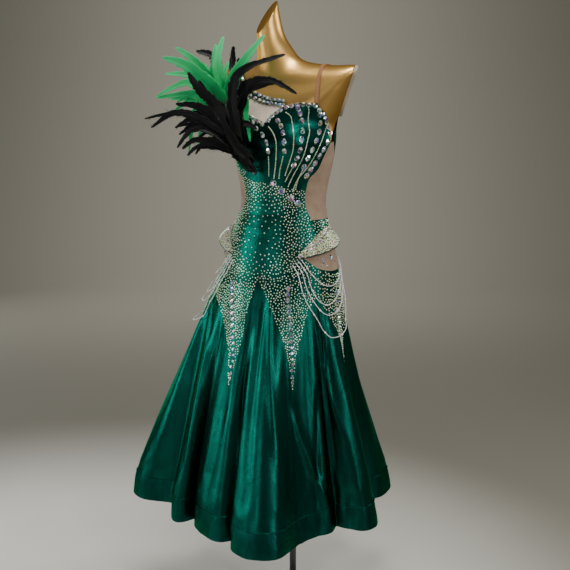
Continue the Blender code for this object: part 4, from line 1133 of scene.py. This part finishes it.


# stones: cut round and oval crystals, each coloured by its own spot in the hue map; the large stones' facets
# get painted glints, bright and dark greys in turn
stone = {"table": 0.27, "lift": 0.0015, "round": 0.5}  # half width of the top, lift off the cloth, depth
crowned = [  # rim and crown of a large stone: lift, size and height as shares of its length, sides, step from facet to facet through the palette of painted glints
    (0.0, 1.0, 0.16, 12, 0.31),
    (0.05, 0.88, 0.26, 10, 0.43),
]


def anyHue(chance):
    return chance.random(), chance.random()


def gem(work, spot, normal, way, length, width, height, hue, sides=8, facetGlintStep=0.0, span=0.5):
    z = normal.normalized()
    x = (way - z * way.dot(z)).normalized()
    place = Matrix((x * length, z.cross(x) * width, z * height)).transposed().to_4x4()
    place.translation = spot + z * height / 2
    made = bmesh.ops.create_cone(
        work, cap_ends=True, segments=sides, radius1=0.5, radius2=stone["table"], depth=1.0, matrix=place)
    layer = work.loops.layers.uv.verify()
    for face in {face for vert in made["verts"] for face in vert.link_faces}:
        share = hue[0]
        # painted glints: the facets round a stone take bright and dark colours in turn, the flat table a
        # tint
        if facetGlintStep:
            out = face.calc_center_median() - spot
            turn = math.floor(math.atan2(out.dot(z.cross(x)), out.dot(x)) / math.tau * sides)
            flat = len(face.verts) > 4
            share = 0.5 + 0.5 * hue[1] if flat else (hue[0] + turn * facetGlintStep) % span
        for loop in face.loops:
            loop[layer].uv = (share, hue[1])


def wholeStone(work, spot, normal, way, length, width, hue, span=0.5):
    # a large stone: a shallow rim with the cut crown above it, each facet painted its own colour, bright and
    # dark greys that stand for glints and reflections, and a tint on the table
    z = normal.normalized()
    for lift, size, height, sides, facetGlintStep in crowned:
        gem(work, spot + z * length * lift, z, way, length * size, width * size, length * height,
            hue, sides, facetGlintStep, span)


def smallStone(work, spot, normal, way, size, hue, sides):
    gem(work, spot, normal, way, size, size, size * stone["round"], hue, sides)


def stoneFrame(station, level, lift=0.0):
    station, level = seamSpot(station, level)
    up = clothAt(station, level + 0.05) - clothAt(station, level - 0.05)
    return onCloth(station, level, stone["lift"] + lift), clothNormal(station, level), up.normalized()


def keepStones(name, work, material, node=None):
    piece = newPiece(name, work, material, node)
    piece.data.uv_layers[0].name = "hue"
    print(name, len(piece.data.polygons), "faces")


bodiceColumns = [  # ovals down the left cup and the centre, as pixels of the view
    [(253, 122.5), (256, 128.6), (262.5, 135), (266.7, 142.8), (268.2, 151)],
    [(278, 121), (281, 126), (283, 133), (284, 142), (284.5, 151)],
    [(298, 108), (300, 113), (302, 121), (302.5, 131), (301.5, 140), (300, 150), (297, 158), (294, 165)],
    [(320, 114), (320, 123), (319, 132), (316, 141), (312, 150), (308, 158), (304, 167)],
    [(329.5, 133), (327, 142), (323.5, 149.5), (319.5, 156), (315, 163.5), (310.5, 170), (306.5, 176)],
]
bodiceChains = [  # rows of small stones running down between and below the ovals
    [(268.5, 155), (269, 165), (269, 176)],
    [(268, 126), (274.7, 136), (276.6, 147), (275.5, 166), (274, 179)],
    [(283.5, 155), (282, 162), (280, 170), (279, 179)],
    [(285, 112), (291, 117), (293, 128), (293.5, 144), (291.6, 155), (285, 176)],
    [(293, 167), (288, 176), (285, 182.5)],
    [(306, 104), (309, 111), (309, 128), (307, 142), (301.5, 160), (292, 178), (288, 187)],
    [(329, 122), (320, 144), (309, 165), (298, 179), (292.5, 191.5)],
    [(303, 169), (298.5, 178.5), (295.5, 189)],
]
waistStones = [(273.5, 183), (282, 191), (291, 198), (298, 204)]
# where the search for a bodice stone starts, the small moves that show its slopes, and its rounds
nearing = {"from": (22.0, 8.0), "turnBy": 0.5, "riseBy": 0.05, "rounds": 10}


def onBodice(x, y):
    # the (station, level) of the bodice that shows at a pixel of the view
    station, level = nearing["from"]
    turnBy, riseBy = nearing["turnBy"], nearing["riseBy"]
    for k in range(nearing["rounds"]):
        here = inView(offForm(station, level, cloth["ease"]))
        aside = inView(offForm(station + turnBy, level, cloth["ease"])) - here
        above = inView(offForm(station, level + riseBy, cloth["ease"])) - here
        slopes = Matrix((aside / turnBy, above / riseBy)).transposed()
        turn, rise = slopes.inverted() @ (Vector((x, y)) - here)
        station += turn
        level += rise
    return station, level


def evenly(curveAt, pitch, start=0.0):
    # (station, level) places a set distance apart along a curve on the cloth, with the way it runs there
    last, walked, places = None, start, []
    steps = 800
    for k in range(steps + 1):
        station, level = curveAt(k / steps)
        point = onCut(station, level)
        if last is not None:
            walked += (point - last).length
            if walked >= pitch:
                walked -= pitch
                places.append((station, level, (point - last).normalized()))
        last = point
    return places


bodiceRims = [  # large stones along the neckline: the gap between them, then their path
    (0.0150, [(-21, 9.50), (-10.5, 9.12), (-0.6, 8.80)]),
    (0.0150, [(1.2, 8.95), (5.2, 9.50), (9.6, 9.98)]),
    (0.0165, [(10.0, 10.05), (15, 10.17), (22, 10.26), (32, 10.19), (41, 10.09), (54.0, 9.70), (65, 9.40),
              (73, 9.05), (79, 8.70)]),
]
bodiceSizes = {"column": (0.0195, 0.0138), "waist": (0.0200, 0.0190), "rim": (0.0158, 0.0125),
               "band": (0.0142, 0.0112), "chain": 0.0036, "chainGap": 0.0042}
bandStones = {"each": 21, "aside": 0.0062, "share": 0.56, "lift": 0.002}  # two rows down the band's front


def addBodiceStones():
    chance = random.Random(11)
    big, small = bmesh.new(), bmesh.new()
    for pixels in bodiceColumns:
        column = [onBodice(*pixel) for pixel in pixels]
        for k, spot in enumerate(column):
            point, normal, up = stoneFrame(*spot)
            way = onCloth(*column[min(k + 1, len(column) - 1)]) - onCloth(*column[max(k - 1, 0)])
            wholeStone(big, point, normal, way, *bodiceSizes["column"], anyHue(chance))
    for pixel in waistStones:
        spot = onBodice(*pixel)
        wholeStone(big, *stoneFrame(*spot), *bodiceSizes["waist"], anyHue(chance), 1.0)
    for gap, rim in bodiceRims:
        for station, level, way in evenly(along(rim), gap, gap / 2):
            point, normal, up = stoneFrame(station, level)
            wholeStone(big, point, normal, way, *bodiceSizes["rim"], anyHue(chance))
    for side, offset in ((-1, 0.0), (1, 0.5)):
        for k in range(bandStones["each"]):
            t = (k + offset) / bandStones["each"] * bandStones["share"]
            seat = ribbonSpot(bandPath, bandLifts, t, side * bandStones["aside"], bandStones["lift"])
            wholeStone(big, *seat, *bodiceSizes["band"], anyHue(chance))
    for pixels in bodiceChains:
        chain = [onBodice(*pixel) for pixel in pixels]
        for station, level, way in evenly(along(chain), bodiceSizes["chainGap"]):
            point, normal, up = stoneFrame(station, level)
            smallStone(small, point, normal, way, bodiceSizes["chain"], anyHue(chance), 8)
    keepStones("bodiceOvals", big, tintAndGlintStone)
    keepStones("bodiceChains", small, goldStone)


addBodiceStones()


def between(points, level):
    # the station at a level on an edge given by its knots
    for (a, low), (b, high) in zip(points, points[1:]):
        if low <= level <= high:
            return a + (b - a) * (level - low) / (high - low)
    return None


def heightOn(edge, station):
    return between([(height, place) for place, height in edge], station)


frontLeft, frontRight, backSide = (sum(edges.values(), []) for edges in (leftEdge, rightEdge, backEdge))
backFrom = 118
stoned = {  # levels, and degrees in from an edge
    "top": 7.9, "backTop": 7.8, "inside": 1.2, "backInside": 1.0, "tongueInside": 0.2,
    "columnHalf": 1.9, "columnFoot": -0.8,  # the column of large stones keeps its place clear
    "cupFoot": 6.75, "cupStrip": 15.0, "fanFoot": 6.35, "fanLean": 0.006, "fanFrom": -38, "fanEdge": -30,
    "windowTop": 2.9, "windowFrom": 60, "yokeTop": 4.36, "yokeFrom": 62, "yokeTo": 111, "hipInside": 0.06,
}


def stonedHalf(level):
    # the stones keep to the middle of a tongue lower down
    down = (apex - level) / (apex - tip)
    return tongueHalf(level) * (1 - 0.7 * min(down, 0.7))


def onDress(station, level):
    # whether a place is on stoned cloth: not over the net, the bodice or the flared godets
    look = stoned
    if level < tip or level > look["top"]:
        return False
    if level <= apex:
        for middle in tongueMiddles:
            off = abs(station - middle)
            clear = off > look["columnHalf"] or level < look["columnFoot"]
            if clear and off < stonedHalf(level) - look["tongueInside"]:
                return True
        return False
    if station > backFrom:
        foot = between(backSide, level)
        if foot is None or level >= look["backTop"]:
            return False
        return foot + look["backInside"] < station < 360 - foot - look["backInside"]
    if level > look["cupFoot"]:
        edge = between(frontRight, level)
        return edge is not None and edge + look["inside"] < station < edge + look["cupStrip"]
    if station > look["fanEdge"] and level > look["fanFoot"] - look["fanLean"] * (station - look["fanFrom"]):
        return False
    low, high = between(frontRight, level), between(frontLeft, level)
    if low + look["inside"] < station < high - look["inside"]:
        return True
    out = abs(station)
    if level < look["windowTop"] and look["windowFrom"] <= out < backFrom:
        foot = heightOn(windowFoot, out)
        return foot is not None and level < foot - look["hipInside"]
    if level < look["yokeTop"] and look["yokeFrom"] < out < look["yokeTo"]:
        foot = heightOn(yokeFoot, out)
        return foot is not None and level > foot + look["hipInside"]
    return False


# how far apart the stones sit: wide in an oval at the centre front and back, close everywhere else
sparse = {"near": 0.0200, "far": 0.0060, "from": 0.25, "over": 0.85, "bend": 0.7,
          "thinFrom": 5.9, "thin": 0.011}
ovals = {"front": (-4.0, 3.75, 30.0, 1.9), "back": (180.0, 5.6, 56.0, 2.6)}  # station, level, half sizes


def stoneGap(station, level):
    middle, height, wide, tall = ovals["front" if station < backFrom else "back"]
    away = math.hypot((station - middle) / wide, (level - height) / tall)
    t = min(max((away - sparse["from"]) / sparse["over"], 0.0), 1.0)
    gap = sparse["near"] + (sparse["far"] - sparse["near"]) * t ** sparse["bend"]
    return gap + (max(level - sparse["thinFrom"], 0.0) * sparse["thin"] if station > backFrom else 0.0)


scatter = {"tries": 150000, "lowOf": 9, "low": 5, "crowd": 0.62, "top": 7.9, "from": -118, "to": 246,
           "cells": 1.8, "least": 0.0037, "more": 0.0008, "parted": 1.4}


def scatteredSpot(k, chance):
    if k % scatter["lowOf"] < scatter["low"]:
        level = tip + (apex - tip) * chance.random() ** scatter["crowd"]
        return chance.choice(tongueMiddles) + (chance.random() * 2 - 1) * stonedHalf(level), level
    level = apex + (scatter["top"] - apex) * chance.random()
    return scatter["from"] + (scatter["to"] - scatter["from"]) * chance.random(), level


def addScattered():
    chance = random.Random(5)
    grid, parts = {}, {}
    cell = sparse["near"] * scatter["cells"]
    for k in range(scatter["tries"]):
        station, level = scatteredSpot(k, chance)
        if not onDress(station, level):
            continue
        point = clothAt(*seamSpot(station, level))
        gap = stoneGap(station, level)
        x, y, z = (int(math.floor(c / cell)) for c in point)
        near = (other for dx in (-1, 0, 1) for dy in (-1, 0, 1) for dz in (-1, 0, 1)
                for other in grid.get((x + dx, y + dy, z + dz), ()))
        if all((point - other).length > gap for other in near):
            grid.setdefault((x, y, z), []).append(point)
            part = "Back" if station > backFrom else ("Front" if abs(station) < 60 else "Sides")
            parts.setdefault("Tongues" if level < scatter["parted"] else part, []).append((station, level))
    for part, places in parts.items():
        work = bmesh.new()
        for spot in places:
            seat = stoneFrame(*spot)
            size = scatter["least"] + scatter["more"] * chance.random()
            smallStone(work, *seat, size, anyHue(chance), 6)
        keepStones("stones" + part, work, goldStone)


addScattered()


netStones = [  # station, level, length
    (71, 2.53, 0.018), (84, 2.64, 0.014), (62, 2.62, 0.006), (66, 2.30, 0.006), (75, 2.25, 0.006),
    (79, 2.84, 0.006), (92, 2.42, 0.006), (100, 2.70, 0.006)]
tongueColumn = {"count": 17, "top": 1.80, "every": 0.172, "stray": 0.6, "size": 0.0140, "less": 0.00034,
                "long": 1.15, "wide": 0.95, "lift": 0.0008}


def addTongueStones():
    # a column of large stones down each tongue, and a few on the bare hip windows
    look = tongueColumn
    chance = random.Random(21)
    work = bmesh.new()
    for middle in tongueMiddles:
        for k in range(look["count"]):
            station = middle + chance.uniform(-look["stray"], look["stray"])
            seat = stoneFrame(station, look["top"] - k * look["every"], look["lift"])
            size = look["size"] - look["less"] * k
            wholeStone(work, *seat, size * look["long"], size * look["wide"], anyHue(chance), 1.0)
    for hand in (1, -1):
        for station, level, size in netStones:
            wholeStone(work, *stoneFrame(hand * station, level), size, size * 0.8, anyHue(chance))
    keepStones("tongueStones", work, tintAndGlintStone)


flapStones = {"tries": 9000, "gap": 0.0051, "least": 0.0048, "more": 0.0006,
              "large": (0.0125, 0.0105), "row": 9}


def addFlapStones(hand):
    look = flapStones
    chance = random.Random(31 + hand)
    place, base = flapSpot(hand, flapBuild["thick"]), flapSpot(hand, 0.0)
    work, large = bmesh.new(), bmesh.new()
    kept = []
    for k in range(look["tries"]):
        u, v = chance.uniform(0.02, 0.98), chance.uniform(0.04, 0.96)
        spot = place(u, v)
        if all((spot - other).length > look["gap"] for other in kept):
            kept.append(spot)
            size = look["least"] + look["more"] * chance.random()
            smallStone(work, spot, spot - base(u, v), place(u, v + 0.01) - spot, size, anyHue(chance), 6)
    for k in range(look["row"]):
        u, v = (0.05 + 0.10 * k) if hand > 0 else (0.95 - 0.10 * k), 0.46 + 0.05 * k
        spot = place(u, v)
        wholeStone(large, spot, spot - base(u, v), place(u, v + 0.01) - spot, *look["large"], anyHue(chance))
    side = "left" if hand > 0 else "right"
    keepStones(side + "FlapStones", work, goldStone)
    keepStones(side + "FlapJewels", large, tintAndGlintStone)


addTongueStones()
addFlapStones(1)
addFlapStones(-1)
print("stones done")

# strands of beads over the hips, each through (station, level, height off the form)
strands = {
    "upper": [(43, 2.62, 0.0077), (47.5, 2.33, 0.010), (52, 2.02, 0.013), (64, 1.72, 0.015),
              (76, 1.62, 0.016), (87, 1.74, 0.017), (100, 2.08, 0.014), (114, 2.50, 0.0077)],
    "second": [(40, 2.56, 0.0077), (44.5, 2.25, 0.010), (49.5, 1.88, 0.013), (55.5, 1.44, 0.015),
               (63, 1.18, 0.017), (73, 1.12, 0.019), (86, 1.40, 0.020), (101, 1.80, 0.015),
               (115, 2.34, 0.0077)],
    "third": [(37, 2.48, 0.0077), (42, 2.14, 0.010), (47.5, 1.66, 0.013), (54, 1.26, 0.015),
              (62, 0.95, 0.018), (72, 0.82, 0.022), (84, 1.04, 0.024), (101, 1.50, 0.018),
              (117, 2.18, 0.0077)],
    "lowest": [(34, 2.38, 0.0077), (40, 1.90, 0.010), (46.5, 1.33, 0.013), (55, 0.82, 0.015),
               (65, 0.37, 0.018), (74, 0.17, 0.024), (86, 0.42, 0.027), (103, 1.16, 0.020),
               (118.5, 2.00, 0.0077)],
}
bead = {"radius": 0.00165, "pitch": 0.0041, "large": 0.0031, "every": 15, "thread": 0.0006}


def strandPoints(path, hand, pitch):
    steps = 400
    fine = []
    for k in range(steps + 1):
        station, level, lift = along(path)(k / steps)
        fine.append(offForm(hand * station, level, lift))
    points, walked = [fine[0]], 0.0
    for a, b in zip(fine, fine[1:]):
        walked += (b - a).length
        if walked >= pitch:
            walked -= pitch
            points.append(b)
    return points


def addStrand(name, path, hand):
    side = "left" if hand > 0 else "right"
    work = bmesh.new()
    layer = work.loops.layers.uv.verify()
    chance = random.Random(len(name) + hand)
    points = strandPoints(path, hand, bead["pitch"])
    for k, point in enumerate(points):
        radius = bead["large"] if k % bead["every"] == bead["every"] // 2 else bead["radius"]
        made = bmesh.ops.create_icosphere(
            work, subdivisions=1, radius=radius, matrix=Matrix.Translation(point))
        hue = anyHue(chance)
        paint(layer, made["verts"], lambda vert: hue)
    tube(work, points, bead["thread"], 5)
    keepStones(side + name.capitalize() + "Strand", work, pearlStone,
               "%s_bead_strand_%s" % (side, name))


for hand in (1, -1):
    for name, path in strands.items():
        addStrand(name, path, hand)
print("strands done")

# feathers: the widest width in millimetres, then four points of the blade from the backing to the tip, each
# as a pixel of the view and how many millimetres nearer than the pole it is
greenGuides = [
    (20, (222, 120, 50), (206, 121, 45), (192, 132, 30), (189, 156, 10)),
    (29, (220, 114, 45), (208, 104, 35), (190, 101, 20), (173, 112, 10)),
    (38, (221, 110, 58), (206, 99, 50), (188, 94, 35), (156, 98, 20)),
    (35, (220, 104, 70), (204, 90, 65), (184, 83, 50), (156, 97, 35)),
    (32, (222, 100, 82), (206, 84, 78), (188, 75, 70), (166, 74, 60)),
    (55, (227, 110, 100), (212, 88, 118), (190, 67, 130), (165, 58, 125)),
    (35, (224, 100, 92), (207, 74, 102), (192, 58, 100), (177, 48, 90)),
    (26, (226, 100, 72), (214, 82, 70), (208, 70, 65), (204, 64, 50)),
    (32, (227, 104, 78), (217, 84, 80), (216, 62, 75), (217, 45, 65)),
    (43, (229, 104, 85), (224, 86, 92), (219, 62, 90), (225, 38, 80)),
    (43, (232, 104, 100), (233, 84, 115), (246, 60, 125), (265, 36, 120)),
    (23, (243, 98, 126), (245, 112, 130), (248, 126, 133), (250, 142, 133)),
]
blackGuides = [
    (23, (254, 172, 135), (246, 162, 150), (238, 156, 160), (229, 152, 165)),
    (26, (250, 166, 150), (240, 152, 175), (234, 138, 190), (230, 124, 200)),
    (29, (242, 154, 150), (222, 144, 155), (196, 140, 150), (182, 149, 140)),
    (32, (250, 160, 160), (238, 148, 185), (228, 132, 200), (222, 116, 210)),
    (29, (236, 148, 170), (212, 131, 175), (192, 130, 170), (177, 148, 160)),
    (35, (238, 138, 190), (232, 96, 215), (243, 70, 225), (286, 54, 220)),
    (26, (234, 142, 155), (212, 126, 160), (192, 119, 155), (175, 128, 150)),
    (32, (242, 104, 175), (246, 86, 200), (270, 80, 210), (297, 94, 205)),
    (29, (232, 140, 165), (200, 119, 170), (174, 113, 165), (151, 128, 160)),
    (41, (232, 128, 185), (215, 104, 195), (198, 88, 200), (188, 72, 200)),
    (20, (231, 138, 175), (204, 120, 180), (176, 113, 180), (144, 119, 175)),
    (34, (236, 118, 172), (233, 78, 172), (230, 62, 165), (231, 44, 160)),
    (35, (231, 134, 180), (212, 116, 187), (196, 106, 190), (175, 104, 190)),
    (38, (233, 116, 176), (217, 74, 172), (208, 54, 165), (192, 49, 150)),
]
blackPad = [(-20, 6.7), (-23, 6.98), (-26, 7.26), (-29, 7.54), (-32, 7.82), (-34, 8.1), (-36, 8.38),
            (-37, 8.66)]
greenPad = [(-54, 8.4), (-55, 8.7), (-55, 9.0), (-54, 9.3), (-52, 9.6), (-49, 9.9), (-45, 10.2)]
featherFacing = Vector((0.469, -0.883, 0.0))
vane = {"across": 8, "along": 44, "cup": 0.18, "slant": 0.55, "twist": 0.35, "shaft": 0.0007,
        "thick": 0.0004}
barb = {"from": 0.12, "to": 0.97, "root": 0.30, "bend": 0.25, "wide": 0.0011, "taper": 0.85}
companion = {"share": 0.8, "wide": 0.85, "least": 0.62, "most": 0.92}
stepShares = (0.6, 0.9, 1.0, 0.9)  # how much of a blade's step forward each of its points takes


def bladeWidth(t, blunt):
    # the vane's share of its widest width, from quill to tip
    rise = min(t / 0.30, 1.0) ** 0.8
    fall = max(1.0 - max(t - 0.42, 0.0) / 0.58, 0.0) ** blunt
    return 0.10 + 0.90 * rise * fall if t < 0.98 else 0.02


def vaneWays(points, k):
    ahead = aheadAt(points, k)
    side = ahead.cross(featherFacing).normalized()
    return ahead, side, side.cross(ahead).normalized()


def addFeather(work, layer, spine, width, chance, ragged, blunt, share=1.0):
    steps = int(vane["along"] * share)
    points = [Vector(along(spine)(k / steps)) for k in range(steps + 1)]
    tears = [chance.random() ** 2 * ragged for k in range(2 * steps + 2)]
    twist = chance.uniform(-vane["twist"], vane["twist"])
    made = bmesh.ops.create_grid(work, x_segments=vane["across"], y_segments=steps, size=0.5)["verts"]
    spots = {vert: (vert.co.x + 0.5, vert.co.y + 0.5) for vert in made}
    for vert in made:
        u, v = vert.co.x * 2, vert.co.y + 0.5
        k = min(round(v * steps), steps)
        ahead, side, up = vaneWays(points, k)
        side = side * math.cos(twist) + up * math.sin(twist)
        up = side.cross(ahead).normalized()
        tear = tears[k * 2 + (1 if u > 0 else 0)] if abs(u) > 0.6 else 0.0
        reach = width / 2 * bladeWidth(v, blunt) * (1 - tear)
        slant = abs(u) * width * vane["slant"] * (1 - v)
        vert.co = points[k] + side * u * reach + up * abs(u) * reach * vane["cup"] + ahead * slant
    paint(layer, made, spots.get)
    paint(layer, tube(work, points[:-1], vane["shaft"], 5), lambda vert: (0.5, 0.2))
    return points


def addBarbs(work, layer, points, width, chance, count, reach):
    # loose barbs along both edges of a vane
    last = len(points) - 1
    for n in range(count):
        k = int(chance.uniform(barb["from"], barb["to"]) * last)
        ahead, side, up = vaneWays(points, k)
        side = side * chance.choice((-1, 1))
        up = side.cross(ahead).normalized()
        long = reach * chance.uniform(0.6, 1.25) * (0.35 + bladeWidth(k / last, 1.0))
        root = points[k] + side * width * barb["root"] * bladeWidth(k / last, 1.0)
        made = bmesh.ops.create_grid(work, x_segments=1, y_segments=4, size=0.5)["verts"]
        out = side * chance.uniform(0.5, 0.95)
        out += ahead * chance.uniform(0.5, 1.0)
        out += up * chance.uniform(-0.35, 0.35)
        out.normalize()
        across = ahead.cross(out).cross(out).normalized() * barb["wide"]
        spots = {vert: (vert.co.x + 0.5, 0.3 + 0.4 * (vert.co.y + 0.5)) for vert in made}
        for vert in made:
            u, v = vert.co.x, vert.co.y + 0.5
            vert.co = (root + out * long * v + ahead * long * barb["bend"] * v * v
                       + across * u * (1 - barb["taper"] * v))
        paint(layer, made, spots.get)


def keepFeathers(name, node, work, material):
    bmesh.ops.recalc_face_normals(work, faces=work.faces)
    piece = keep(name, work, material, node)
    piece.data.uv_layers[0].name = "vane"
    addWall(piece, vane["thick"], 0.0)
    print(name, len(piece.data.polygons), "faces")


def padRoot(pad, share, lift=0.009):
    station, level = along(pad)(share)
    return offForm(station, level, lift)


def addPlume(name, node, guides, pad, material, look):
    chance = random.Random(look["seed"])
    work = bmesh.new()
    layer = work.loops.layers.uv.verify()
    for k, (width, *guide) in enumerate(guides):
        width = width / 1000
        start = padRoot(pad, k / (len(guides) - 1))
        spine = [tuple(start)]
        for (x, y, nearer), share in zip(guide, stepShares):
            step = featherFacing * look["steps"].get(k, 0.0) * share
            spine.append(tuple(seenAt(x, y, nearer / 1000) + step))
        wide = width * look["wide"]
        points = addFeather(work, layer, spine, wide, chance, look["ragged"], look["blunt"])
        addBarbs(work, layer, points, width, chance, look["barbs"], look["reach"])
        # a shorter companion, turned a little about the root
        turn = Matrix.Rotation(chance.uniform(-1, 1) * look["spread"], 3, featherFacing)
        tilt = Matrix.Rotation(chance.uniform(-1, 1) * look["spread"] * 0.5, 3, "Z")
        size = chance.uniform(companion["least"], companion["most"]) * look["short"].get(k, 1.0)
        other = [tuple(start + tilt @ turn @ (Vector(p) - start) * size) for p in spine]
        wide *= companion["wide"]
        points = addFeather(work, layer, other, wide, chance, look["ragged"], look["blunt"],
                            companion["share"])
        addBarbs(work, layer, points, width, chance, look["barbs"] // 2, look["reach"])
    keepFeathers(name, node, work, material)


# steps: how far a blade stands forward, in metres. short: a companion's size
addPlume("greenFeathers", "green_feathers", greenGuides, greenPad, greenFeather, {
    "seed": 3, "wide": 1.05, "ragged": 0.24, "blunt": 0.85, "barbs": 14, "reach": 0.009, "spread": 0.07,
    "steps": {4: 0.02, 5: 0.055, 6: 0.045, 8: 0.060, 9: 0.065, 10: 0.045}, "short": {}})
addPlume("blackFeathers", "black_feathers", blackGuides, blackPad, blackFeather, {
    "seed": 4, "wide": 1.00, "ragged": 0.34, "blunt": 0.66, "barbs": 46, "reach": 0.014, "spread": 0.09,
    "steps": {9: -0.006, 11: -0.110, 12: -0.010, 13: -0.120}, "short": {7: 0.5}})
print("feathers done")

# a pale floor that curves up into a backdrop, with a painted pool of light near the dress and painted shade
# further off, and soft light
studio = {
    # the floor has a painted pool of light round a spot beside the dress on the key lamp's side, painted
    # shade further off, and turns into the wall's colour
    "floor": (0.82, 0.805, 0.735), "far": (0.214, 0.205, 0.168), "wall": (0.222, 0.212, 0.174),
    # the first entry is the middle of the painted pool of light; over the fade span it gives way to the
    # painted shade of the far floor
    "paintedLightCentre": (-0.55, -0.38, 0.0), "fade": (0.80, 2.0), "rise": (4.8, 6.6), "mottle": 1.5, "shade": 0.95,
    "world": (0.60, 0.60, 0.585), "worldPower": 0.38,
    "back": 5.2, "cove": 2.2, "coveSteps": 8, "wide": 18.0, "front": 7.0, "height": 5.0,
    "lamps": [  # place, aim, width, height, power, colour
        ((-2.3, -1.45, 1.20), (0, 0, 1.1), 0.60, 1.5, 25.0, (1.0, 0.99, 0.97)),
        ((-0.5, -2.9, 1.20), (0, 0, 1.0), 0.45, 1.4, 10.0, (1.0, 0.99, 0.97)),
        ((2.8, -1.2, 1.60), (0, 0, 1.0), 0.35, 1.9, 24.0, (1.0, 0.98, 0.95)),
        ((0.3, -0.8, 3.7), (0, 0, 1.0), 0.80, 0.8, 50.0, (1.0, 0.98, 0.95)),
        ((1.9, 1.6, 2.2), (0, 0, 1.2), 0.50, 1.6, 26.0, (1.0, 0.97, 0.92)),
        ((2.0, -1.6, 2.8), (0, 0, 1.6), 0.50, 0.5, 14.0, (1.0, 0.98, 0.95)),
        ((-4.88, 1.94, 1.40), (0, 0, 0.9), 1.20, 2.6, 30.0, (0.97, 0.98, 1.0)),
        ((-2.31, 3.84, 3.0), (-3.36, 5.79, 0.5), 1.60, 1.0, 105.0, (1.0, 0.98, 0.95)),  # on the wall
    ],
}


def floorPaint():
    made, tree, shader = newMaterial("floorPaint", 0.8)
    look = {"mottle": studio["mottle"], "dark": [c * studio["shade"] for c in studio["floor"]],
            "light": studio["floor"]}
    # distance from the middle of the painted pool of light: pale floor near it, painted shade (far) further
    # off, then the wall's colour
    reach = tree.nodes.new("ShaderNodeVectorMath")
    reach.operation = "DISTANCE"
    reach.inputs[1].default_value = studio["paintedLightCentre"]
    link(tree, objectCoords(tree), reach.inputs[0])
    colour = addTone(tree, look, objectCoords(tree)).outputs["Color"]
    for span, shade in (("fade", "far"), ("rise", "wall")):
        fading = tree.nodes.new("ShaderNodeMapRange")
        fading.interpolation_type = "SMOOTHSTEP"
        fading.inputs["From Min"].default_value, fading.inputs["From Max"].default_value = studio[span]
        link(tree, reach.outputs["Value"], fading.inputs["Value"])
        colour = addMix(tree, fading.outputs["Result"], colour, studio[shade])
    link(tree, colour, shader.inputs["Base Color"])
    return made


def addFloor():
    away, right = cameraWays()
    work = bmesh.new()
    line = [work.verts.new(away * -studio["front"]), work.verts.new(away * studio["back"])]
    for k in range(1, studio["coveSteps"] + 1):
        bend = math.radians(90 * k / studio["coveSteps"])
        out = studio["back"] + studio["cove"] * math.sin(bend)
        line.append(work.verts.new(away * out + Vector((0, 0, studio["cove"] * (1 - math.cos(bend))))))
    line.append(work.verts.new(line[-1].co + Vector((0, 0, studio["height"]))))
    edges = [work.edges.new(pair) for pair in zip(line, line[1:])]
    bmesh.ops.translate(work, verts=work.verts, vec=right * -studio["wide"] / 2)
    grown = bmesh.ops.extrude_edge_only(work, edges=edges)["geom"]
    moved = [v for v in grown if isinstance(v, bmesh.types.BMVert)]
    bmesh.ops.translate(work, verts=moved, vec=right * studio["wide"])
    bmesh.ops.recalc_face_normals(work, faces=work.faces)
    mesh = bpy.data.meshes.new("floor")
    work.to_mesh(mesh)
    work.free()
    mesh.shade_smooth()
    mesh.materials.append(floorPaint())
    floor = bpy.data.objects.new("floor", mesh)
    bpy.context.collection.objects.link(floor)


def addLights():
    for k, (place, aim, wide, tall, power, colour) in enumerate(studio["lamps"]):
        data = bpy.data.lights.new("lamp%d" % k, "AREA")
        data.shape = "RECTANGLE"
        data.size, data.size_y = wide, tall
        data.energy = power
        data.color = colour
        lamp = bpy.data.objects.new("lamp%d" % k, data)
        bpy.context.collection.objects.link(lamp)
        lamp.location = place
        lamp.rotation_euler = (Vector(aim) - Vector(place)).to_track_quat("-Z", "Y").to_euler()
    world = bpy.data.worlds.new("studio")
    bpy.context.scene.world = world
    world.use_nodes = True
    ground = world.node_tree.nodes["Background"]
    ground.inputs["Color"].default_value = (*studio["world"], 1)
    ground.inputs["Strength"].default_value = studio["worldPower"]


addFloor()
addLights()
print("studio done")
